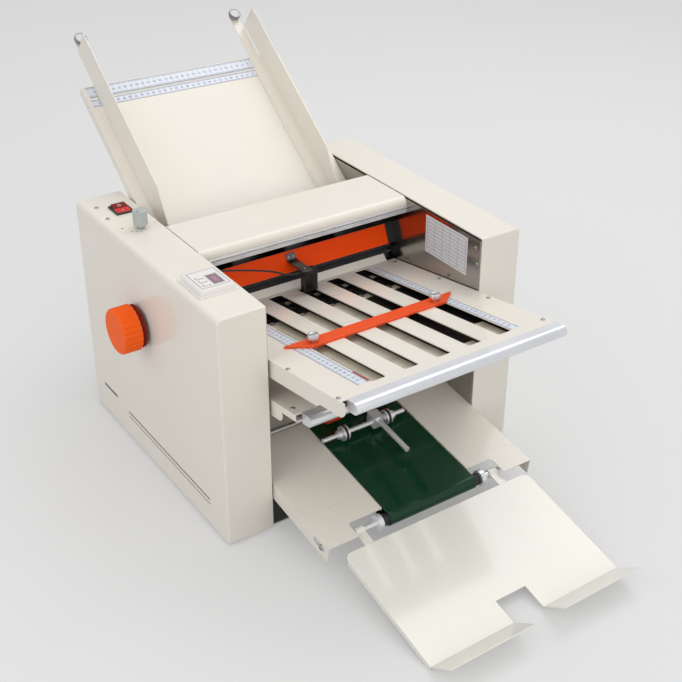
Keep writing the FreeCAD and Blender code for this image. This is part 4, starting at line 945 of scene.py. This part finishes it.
class FOLDER_OT_rulers(FolderOperator, bpy.types.Operator):
    """Rulers on the first fold plate and across the feed tray, with the red mark"""

    bl_idname = "folder.rulers"
    bl_label = "Rulers"

    def make(self):
        stuffs = [printed("ruler_face", colours().ruler, (0.25, 0.35), bloom=0.1, coat=0.3), ink()]
        along = FIRST_PLATE @ turned(math.pi, "Z")
        for name, (left, right) in (("left_ruler", LEFT_RULER), ("right_ruler", RIGHT_RULER)):
            make_piece(name, self.ruler(along, -right, -left, RULER_NEAR, RULER_FAR), stuffs)
        across = TRAY @ turned(math.pi / 2, "Z")
        for name, (left, right) in zip(("lower_tray_ruler", "upper_tray_ruler"), TRAY_RULERS):
            strip = self.ruler(across, left, right, -TRAY_RULER_HALF, TRAY_RULER_HALF)
            make_piece(name, strip, stuffs)
        bm = bmesh.new()
        left, right, near, far = RED_MARK
        add_block(bm, FIRST_PLATE, (left, near, 0), (right, far, sizes().ruler_thickness))
        red = printed("red_mark", colours().red_mark, (0.35, 0.45), bloom=0.04)
        make_piece("red_mark", bm, [red])

    def ruler(self, matrix, left, right, near, far):
        """A strip along Y, with lines at its edges, ticks on both sides and numbers between."""
        bm = bmesh.new()
        thick = sizes().ruler_thickness
        top = thick + sizes().print_depth
        tick = sizes().tick_width
        width = right - left
        add_block(bm, matrix, (left, near, 0), (right, far, thick))
        for x in (left, right - tick):
            add_block(bm, matrix, (x, near, thick), (x + tick, far, top), 1)
        count = int((far - near) / TICK_PITCH)
        for index in range(count + 1):
            y = near + index * TICK_PITCH
            reach = width * (LONG_TICK_SHARE if index % LONG_TICK_EVERY == 0 else TICK_SHARE)
            for start, end in ((left + tick, left + reach), (right - reach, right - tick)):
                add_block(bm, matrix, (start, y - tick / 2, thick), (end, y + tick / 2, top), 1)
        for index in range(1, int((far - near) / NUMBER_PITCH)):
            place = at((left + right) / 2, near + index * NUMBER_PITCH, top) @ turned(math.pi / 2, "Z")
            add_number(bm, str(index), sizes().number_height, matrix @ place)
        return bm


class FOLDER_OT_thumb_screws(FolderOperator, bpy.types.Operator):
    """Knurled thumb screws of the first stop bar and the guides"""

    bl_idname = "folder.thumb_screws"
    bl_label = "Thumb screws"

    def make(self):
        for side, x in (("left", -STOP_SCREW_X), ("right", STOP_SCREW_X)):
            place = FIRST_PLATE @ at(x, STOP_SCREW_ALONG, STOP_SCREW_BASE)
            make_piece("knurled_stop_screw_" + side, self.thumb_screw(place, *STOP_SCREW), [chrome()],
                       "first_stop_" + side + "_screw", ("stop_screw_" + side,))
        for side, x in zip(("left", "right"), GUIDE_SCREW_X):
            place = TRAY @ at(x, GUIDE_SCREW_ALONG, GUIDE_SCREW_BASE)
            make_piece("knurled_guide_screw_" + side, self.thumb_screw(place, *GUIDE_SCREW), [dark_chrome()],
                       side + "_guide_screw", ("guide_screw_" + side,))

    def thumb_screw(self, matrix, collar, collar_height, radius, height):
        """Collar, neck and a knurled head with a shallow dished top."""
        teeth = sizes().knurl_teeth
        depth = sizes().knurl_depth
        bevel = height / 10
        top = collar_height + height
        inner = radius - bevel

        def knurl(turn, reach):
            return depth * (abs(math.sin(turn * teeth / 2)) - 1) if reach >= radius else 0

        bm = bmesh.new()
        add_turned(bm, matrix, [(0, 0), (collar, 0), (collar, collar_height * 0.8),
                                (collar * 0.94, collar_height), (inner, collar_height),
                                (radius, collar_height + bevel), (radius, top - bevel), (inner, top),
                                (inner * 0.82, top), (inner * 0.76, top - bevel),
                                (inner * 0.3, top - bevel * 1.2), (0, top - bevel * 1.2)],
                   teeth * 6, relief=knurl)
        return bm


class FOLDER_OT_screws(FolderOperator, bpy.types.Operator):
    """Cross-head screws, the shaft's end screws and the dial's nut"""

    bl_idname = "folder.screws"
    bl_label = "Screws"

    def make(self):
        head = cross_head_mesh()
        bm = bmesh.new()
        places = [FIRST_PLATE @ at(x, y, 0) for x, y in FIRST_PLATE_SCREWS]
        places += [THIRD_PLATE @ at(x, y, 0) for x, y in THIRD_PLATE_SCREWS]
        places += [MACHINE @ at(SIDE_PLATE_FACE, y, z) @ AGAINST_X for y, z in SIDE_PLATE_SCREWS]
        places += [MACHINE @ at(x, y, COVER_TOP) for x, y in COVER_SCREWS]
        for index, place in enumerate(places):
            add_mesh(bm, head, place @ turned(index * SCREW_TURN, "Z"))
        wide = SHAFT_SCREW_RADIUS / SCREW_RADIUS
        grow = Matrix.Diagonal((wide, wide, SHAFT_SCREW_HEIGHT / SCREW_HEIGHT, 1))
        for x, turn in ((-SHAFT_HALF, AGAINST_X), (SHAFT_HALF, ALONG_X)):
            add_mesh(bm, head, DELIVERY @ at(x, SHAFT_ALONG, SHAFT_ABOVE) @ turn @ grow)
        small = Matrix.Scale(BRACKET_SCREW_SHARE, 4)
        for x, y in BRACKET_SCREWS:
            add_mesh(bm, head, GUARD @ at(x, y, BRACKET_THICKNESS) @ small)
        add_mesh(bm, head, MACHINE @ at(*BRACKET_ARM_SCREW) @ small)
        add_turned(bm, MACHINE @ at(DIAL_X, DIAL_Y, COVER_TOP),
                   [(DIAL_SHAFT, 0), (NUT_RADIUS, 0), (NUT_RADIUS, NUT_HEIGHT - 0.001),
                    (NUT_RADIUS * 0.9, NUT_HEIGHT), (DIAL_SHAFT, NUT_HEIGHT)], 6, closed=True)
        bpy.data.meshes.remove(head)
        make_piece("screw_heads", bm, [zinc()], "machine", ("screws",))


class FOLDER_OT_rollers(FolderOperator, bpy.types.Operator):
    """Rubber and steel of the fold rollers, feed roller and exit rollers"""

    bl_idname = "folder.rollers"
    bl_label = "Rollers"

    def make(self):
        grip = between_x(MACHINE_X - GRIP_HALF, MACHINE_X + GRIP_HALF)
        rubber = colours().roller_rubber
        fold = part_steel("fold_roller_rubber", rubber, (0.5, 0.65), grip, colours().zinc)
        dress(fold, *["fold_roller_%d" % (index + 1) for index in range(6)])
        for name, node, colour, shine in (
                ("feed_roller_rubber", "feed_roller", rubber, (0.6, 0.75)),
                ("exit_roller_rubber", "exit_rollers", colours().exit_rubber, (0.42, 0.55))):
            mask = beyond_radius(middle(node), BARE_SHAFT_RADIUS)
            dress(part_steel(name, colour, shine, mask, colours().zinc), node)


class FOLDER_OT_drive(FolderOperator, bpy.types.Operator):
    """Toothed belts behind the right cover"""

    bl_idname = "folder.drive"
    bl_label = "Drive belts"

    def make(self):
        dress(black_rubber(), "drive_belts")


class FOLDER_OT_delivery(FolderOperator, bpy.types.Operator):
    """Delivery shelves, the green belt and its rollers"""

    bl_idname = "folder.delivery"
    bl_label = "Delivery belt"

    def make(self):
        dress(plate_enamel(), "delivery_frame")
        belt = moulded("belt_cover", colours().belt, (0.14, 0.22), bloom=0.005, scale=700.0, depth=0.000004,
                       coat=0.25, specular=0.25)
        dress(belt, "delivery_belt")
        roller = moulded("roller_lagging", colours().black_rubber, (0.4, 0.55))
        dress(roller, "front_belt_roller", "rear_belt_roller")


class FOLDER_OT_press_wheels(FolderOperator, bpy.types.Operator):
    """Black bands on chrome wheels"""

    bl_idname = "folder.press_wheels"
    bl_label = "Press wheels"

    def make(self):
        tyre = moulded("tyre_rubber", colours().black_rubber, (0.45, 0.6), bloom=0.06)
        for side in ("left", "right"):
            node = "press_wheel_" + side
            low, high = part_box(node)
            radius = (high.z - low.z) / 2
            half_hub = (high.x - low.x) / 2
            matrix = Matrix.Translation(middle(node)) @ ALONG_X
            bm = bmesh.new()
            seat = radius * WHEEL_SEAT
            rim = radius * WHEEL_RIM
            tread = [(seat, TYRE_HALF), (radius - TYRE_EDGE, TYRE_HALF), (radius, TYRE_HALF - TYRE_EDGE)]
            add_turned(bm, matrix, both_ways(tread), 64, 0, closed=True)
            web = WHEEL_HALF - WEB_STEP
            hub = [(WHEEL_BORE, half_hub), (HUB_RADIUS - HUB_EDGE, half_hub), (HUB_RADIUS, half_hub - HUB_EDGE),
                   (HUB_RADIUS, web), (rim * WEB_SHARE, web), (rim * LIP_SHARE, WHEEL_HALF),
                   (rim, WHEEL_HALF), (rim, TYRE_HALF), (seat, TYRE_HALF)]
            add_turned(bm, matrix, both_ways(hub), 64, 1, closed=True)
            make_piece("tyred_wheel_" + side, bm, [tyre, satin_chrome()], side + "_press_wheel", (node,))


class FOLDER_OT_catch_tray(FolderOperator, bpy.types.Operator):
    """Glossy enamel on the catch tray"""

    bl_idname = "folder.catch_tray"
    bl_label = "Catch tray"

    def make(self):
        dress(enamel("gloss_enamel", colours().catch_enamel, (0.14, 0.22), coat=0.5, clouds=0.015,
                     peel=0.00001), "catch_tray")


class FOLDER_OT_hand_knob(FolderOperator, bpy.types.Operator):
    """Orange plastic of the hand knob, with painted shade behind its grip"""

    bl_idname = "folder.hand_knob"
    bl_label = "Hand knob"

    def make(self):
        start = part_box("hand_knob")[0].x + KNOB_GRIP_LENGTH
        # Painted shade: a dark red band over the knob's rear part behind the grip
        tone = two_tone(between_x(start, start + KNOB_PAINTED_SHADE_LENGTH), colours().knob, colours().knob_groove)
        dress(moulded("knob_plastic", tone, (0.34, 0.46), bloom=0.03, specular=0.06, edge=0.0008),
              "hand_knob")


class FOLDER_OT_switch(FolderOperator, bpy.types.Operator):
    """Rocker switch with its marks, with painted shade on the half that is pressed down, and the mains inlet"""

    bl_idname = "folder.switch"
    bl_label = "Switch and inlet"

    def make(self):
        dress(moulded("black_plastic", colours().black_plastic, (0.32, 0.45), bloom=0.04), "switch_bezel",
              "power_inlet")
        # Painted shade: the half behind the pivot gets a darker copy of the rocker's red
        tone = two_tone(beyond_y(MACHINE_Y + SWITCH_Y), colours().rocker, darker(colours().rocker, 0.3))
        dress(moulded("rocker_plastic", tone, (0.18, 0.28), bloom=0.01, specular=0.35), "rocker")
        pivot = MACHINE @ at(SWITCH_X, SWITCH_Y, ROCKER_AXIS_Z) @ turned(math.radians(ROCKER_TILT), "X")
        slope = math.atan2(ROCKER_EDGE - ROCKER_MID, ROCKER_HALF)
        bm = bmesh.new()
        depth = sizes().print_depth
        along = ROCKER_HALF * ROCKER_MARK_SHARE
        level = ROCKER_MID + (ROCKER_EDGE - ROCKER_MID) * ROCKER_MARK_SHARE
        wide, outer = ROCKER_MARK_LINE, ROCKER_MARK_RADIUS
        add_block(bm, pivot @ at(0, -along, level) @ turned(-slope, "X"), (-wide / 2, -outer, 0),
                  (wide / 2, outer, depth))
        inner = outer - ROCKER_RING_LINE
        add_turned(bm, pivot @ at(0, along, level) @ turned(slope, "X"),
                   [(inner, 0), (outer, 0), (outer, depth), (inner, depth)], 32, closed=True)
        white = printed("white_print", colours().ruler, (0.35, 0.45))
        make_piece("rocker_marks", bm, [white], "switch_rocker")


class FOLDER_OT_speed_dial(FolderOperator, bpy.types.Operator):
    """Ribbed speed dial with its pointer, and the dots round it"""

    bl_idname = "folder.speed_dial"
    bl_label = "Speed dial"

    def make(self):
        ribs = sizes().dial_ribs

        def rib(turn, reach):
            return -DIAL_RIB_DEPTH * max(0, math.cos(turn * ribs)) ** 2 if reach >= DIAL_RADIUS * 0.97 else 0

        height = DIAL_HIGH - DIAL_LOW
        inner = DIAL_RADIUS * DIAL_TOP_SHARE
        rounding = DIAL_ROUNDING
        bm = bmesh.new()
        matrix = MACHINE @ at(DIAL_X, DIAL_Y, DIAL_LOW)
        add_turned(bm, matrix, [(0, 0), (DIAL_RADIUS - rounding, 0), (DIAL_RADIUS, rounding),
                                (DIAL_RADIUS, height - 0.0012), (DIAL_RADIUS - rounding, height - rounding),
                                (inner, height), (inner * 0.92, height - 0.0003),
                                (inner * 0.5, height - rounding), (0, height - rounding)], ribs * 8, 0, rib)
        add_turned(bm, matrix, [(0, -DIAL_SHAFT_DEPTH), (DIAL_SHAFT, -DIAL_SHAFT_DEPTH), (DIAL_SHAFT, 0.0005),
                                (0, 0.0005)], 32, 1)
        add_block(bm, matrix @ turned(math.radians(DIAL_POINTER_TURN), "Z"),
                  (0.002, -0.0005, height - 0.0006), (inner * 0.9, 0.0005, height - 0.0002), 2)
        dial = moulded("dial_plastic", colours().dial, (0.22, 0.32), bloom=0.04, coat=0.4)
        make_piece("ribbed_dial", bm, [dial, zinc(), ink()], "speed_dial", ("speed_knob",))
        bm = bmesh.new()
        depth = sizes().print_depth
        for x, y, radius in DIAL_DOTS:
            add_turned(bm, MACHINE @ at(x, y, COVER_TOP),
                       [(0, 0), (radius, 0), (radius, depth), (0, depth)], 20)
        make_piece("dial_dots", bm, [ink()])


class FOLDER_OT_counter(FolderOperator, bpy.types.Operator):
    """Counter with its frame, window and keys"""

    bl_idname = "folder.counter"
    bl_label = "Counter"

    def make(self):
        pale = moulded("counter_plastic", colours().counter, (0.2, 0.3), bloom=0.04, scale=1500.0,
                       depth=0.00001, coat=0.4)
        dress(pale, "counter_body")
        keys = moulded("key_rubber", colours().counter, (0.45, 0.6))
        dress(keys, "counter_key_1", "counter_key_2", "counter_key_3")
        self.frame_lines()
        self.foot_rim(pale)
        (left, right), (near, far) = DISPLAY_X, DISPLAY_Y
        glass = COUNTER_TOP - DISPLAY_INSET
        bm = bmesh.new()
        add_block(bm, MACHINE, (left + DISPLAY_INSET, near + DISPLAY_INSET, COUNTER_TOP - DISPLAY_DEPTH),
                  (right - DISPLAY_INSET, far - DISPLAY_INSET, glass))
        place = at((left + right) / 2, (near + far) / 2, glass) @ turned(-math.pi / 2, "Z")
        add_number(bm, "0000", DIGIT_HEIGHT, MACHINE @ place)
        window = moulded("display_window", colours().display, (0.08, 0.14), bloom=0.02, scale=2500.0,
                         depth=0.000002, coat=0.6)
        digits = moulded("display_digits", colours().digits, (0.2, 0.3), bloom=0.02)
        make_piece("counter_window", bm, [window, digits])

    def frame_lines(self):
        """Grey frame round the counter's face, with a thinner one round its window and each key."""
        bm = bmesh.new()
        self.outline(bm, COUNTER_FRAME_X, COUNTER_FRAME_Y, COUNTER_LINE)
        self.outline(bm, widened(*DISPLAY_X, WINDOW_MARGIN), widened(*DISPLAY_Y, WINDOW_MARGIN), WINDOW_LINE)
        for y in KEY_Y:
            self.outline(bm, widened(KEY_X, KEY_X, KEY_FRAME_HALF[0]), widened(y, y, KEY_FRAME_HALF[1]),
                         KEY_LINE)
        grey = printed("frame_print", colours().counter_frame, (0.35, 0.45))
        make_piece("counter_frame", bm, [grey])

    def outline(self, bm, across, along, width):
        """Four printed lines along the inside of a rectangle on the counter's face."""
        top = COUNTER_TOP + sizes().print_depth
        for x in (across[0], across[1] - width):
            add_block(bm, MACHINE, (x, along[0], COUNTER_TOP), (x + width, along[1], top))
        for y in (along[0], along[1] - width):
            add_block(bm, MACHINE, (across[0] + width, y, COUNTER_TOP), (across[1] - width, y + width, top))

    def foot_rim(self, material):
        """Low rim that the counter's case stands on."""
        low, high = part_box("counter_body")
        bm = bmesh.new()
        base = MACHINE.inverted() @ Vector((low.x, low.y, COVER_TOP))
        far = MACHINE.inverted() @ Vector((high.x, high.y, COVER_TOP + RIM_HEIGHT))
        for x0, x1 in ((base.x - RIM_WIDTH, base.x), (far.x, far.x + RIM_WIDTH)):
            add_block(bm, MACHINE, (x0, base.y - RIM_WIDTH, base.z), (x1, far.y + RIM_WIDTH, far.z))
        for y0, y1 in ((base.y - RIM_WIDTH, base.y), (far.y, far.y + RIM_WIDTH)):
            add_block(bm, MACHINE, (base.x, y0, base.z), (far.x, y1, far.z))
        make_piece("counter_rim", bm, [material])


class FOLDER_OT_chart(FolderOperator, bpy.types.Operator):
    """Bare ruled chart plate on the right side plate"""

    bl_idname = "folder.chart"
    bl_label = "Chart plate"

    def make(self):
        bm = bmesh.new()
        face = SIDE_PLATE_FACE
        back = face - sizes().ruler_thickness
        top = back - sizes().print_depth
        half = sizes().tick_width / 2
        add_block(bm, MACHINE, (back, CHART_Y[0], CHART_Z[0]), (face, CHART_Y[1], CHART_Z[1]))
        near, far = widened(*CHART_Y, -CHART_MARGIN)
        low, high = widened(*CHART_Z, -CHART_MARGIN)
        for row in range(CHART_ROWS + 1):
            z = low + (high - low) * row / CHART_ROWS
            add_block(bm, MACHINE, (top, near, z - half), (back, far, z + half), 1)
        for column in range(CHART_COLUMNS + 1):
            y = near + (far - near) * column / CHART_COLUMNS
            add_block(bm, MACHINE, (top, y - half, low), (back, y + half, high), 1)
        plate = printed("chart_face", colours().chart, (0.3, 0.4), bloom=0.05)
        make_piece("chart_plate", bm, [plate, ink()])


def camera_matrix():
    """The photograph's camera, from its place, its two angles and its roll."""
    level = Vector((math.cos(CAMERA_AZIMUTH), -math.sin(CAMERA_AZIMUTH), 0))
    flat = Vector((math.sin(CAMERA_AZIMUTH), math.cos(CAMERA_AZIMUTH), 0)) * math.cos(CAMERA_ELEVATION)
    ahead = flat - Vector((0, 0, math.sin(CAMERA_ELEVATION)))
    above = level.cross(ahead)
    right = level * math.cos(CAMERA_ROLL) + above * math.sin(CAMERA_ROLL)
    up = above * math.cos(CAMERA_ROLL) - level * math.sin(CAMERA_ROLL)
    return at(*CAMERA_PLACE) @ Matrix((right, up, -ahead)).transposed().to_4x4()


class FOLDER_OT_stage(FolderOperator, bpy.types.Operator):
    """Floor, soft lights, plain backdrop and the photograph's camera"""

    bl_idname = "folder.stage"
    bl_label = "Stage"

    def make(self):
        studio = bpy.context.scene.folder_studio
        self.floor(studio)
        self.backdrop(studio)
        for name, place, size in LAMPS:
            self.light(name + "_light", place, size, getattr(studio, name + "_power"))
        camera = bpy.data.cameras.new("camera")
        camera.lens = CAMERA_LENS
        camera.shift_x, camera.shift_y = CAMERA_SHIFT
        camera.clip_start = 0.05
        holder = link("camera", camera)
        holder.matrix_world = camera_matrix()
        bpy.context.scene.camera = holder
        bpy.context.scene.view_settings.view_transform = "Standard"

    def plain_rays(self, graph):
        """1 for what the camera, a mirror or glass sees, and 0 for the light that falls on things."""
        path = graph.node("ShaderNodeLightPath").outputs
        seen = graph.math("MAXIMUM", path["Is Camera Ray"], path["Is Glossy Ray"])
        return graph.math("MAXIMUM", seen, path["Is Transmission Ray"])

    def floor(self, studio):
        bm = bmesh.new()
        bmesh.ops.create_grid(bm, x_segments=8, y_segments=8, size=FLOOR_HALF)
        floor = link("floor", as_mesh(bm, "floor"))
        material = bpy.data.materials.new("pale_floor")
        material.use_nodes = True
        material.node_tree.nodes.clear()
        graph = Graph(material.node_tree)
        colour = graph.mix(graph.noise(graph.place(), 3.0, 4.0), solid(studio.floor),
                           solid(darker(studio.floor, 0.97)))
        matt = graph.node("ShaderNodeBsdfDiffuse", {"Color": colour}).outputs[0]
        strength = graph.math("MULTIPLY", self.plain_rays(graph), FLOOR_GLOW)
        glow = graph.node("ShaderNodeEmission", {"Strength": strength}).outputs[0]
        both = graph.node("ShaderNodeAddShader", {0: matt, 1: glow}).outputs[0]
        graph.node("ShaderNodeOutputMaterial", {"Surface": both})
        floor.data.materials.append(material)

    def backdrop(self, studio):
        world = bpy.data.worlds.new("studio_world")
        bpy.context.scene.world = world
        world.use_nodes = True
        world.node_tree.nodes.clear()
        graph = Graph(world.node_tree)
        lit, seen = (graph.node("ShaderNodeBackground", {"Color": colour, "Strength": strength}).outputs[0]
                     for colour, strength in (((1, 1, 1, 1), studio.ambient), (solid(studio.backdrop), 1.0)))
        mix = graph.node("ShaderNodeMixShader", {0: self.plain_rays(graph), 1: lit, 2: seen}).outputs[0]
        graph.node("ShaderNodeOutputWorld", {"Surface": mix})

    def light(self, name, place, size, power):
        """A square lamp at a place, turned to the machine."""
        lamp = bpy.data.lights.new(name, "AREA")
        lamp.energy = power
        lamp.size = size
        ahead = Vector(LAMP_TARGET) - Vector(place)
        link(name, lamp).matrix_world = at(*place) @ ahead.to_track_quat("-Z", "Y").to_matrix().to_4x4()


OPERATORS = (
    FOLDER_OT_stage, FOLDER_OT_lead, FOLDER_OT_housing, FOLDER_OT_trims, FOLDER_OT_guard, FOLDER_OT_feed_tray,
    FOLDER_OT_fold_plates, FOLDER_OT_rulers, FOLDER_OT_thumb_screws, FOLDER_OT_screws, FOLDER_OT_rollers,
    FOLDER_OT_drive, FOLDER_OT_delivery, FOLDER_OT_press_wheels, FOLDER_OT_catch_tray, FOLDER_OT_hand_knob,
    FOLDER_OT_switch, FOLDER_OT_speed_dial, FOLDER_OT_counter, FOLDER_OT_chart)


class FOLDER_PT_pieces(bpy.types.Panel):
    """Lists the pieces and their settings"""

    bl_label = "Paper Folder"
    bl_space_type = "VIEW_3D"
    bl_region_type = "UI"
    bl_category = "Paper Folder"

    def draw(self, context):
        for operator in OPERATORS:
            self.layout.operator(operator.bl_idname)
        for name, _ in SETTINGS:
            settings = getattr(context.scene, name)
            box = self.layout.box()
            for setting in settings.__annotations__:
                box.prop(settings, setting)


SETTINGS = (("folder_colours", FolderColours), ("folder_sizes", FolderSizes), ("folder_studio", FolderStudio))


def register():
    for name, settings in SETTINGS:
        bpy.utils.register_class(settings)
        setattr(bpy.types.Scene, name, PointerProperty(type=settings))
    for cls in (*OPERATORS, FOLDER_PT_pieces):
        bpy.utils.register_class(cls)


def unregister():
    for cls in reversed((*OPERATORS, FOLDER_PT_pieces)):
        bpy.utils.unregister_class(cls)
    for name, settings in reversed(SETTINGS):
        delattr(bpy.types.Scene, name)
        bpy.utils.unregister_class(settings)


def main():
    register()
    for operator in OPERATORS:
        getattr(bpy.ops.folder, operator.bl_idname.split(".")[1])()


if __name__ == "__main__":
    main()
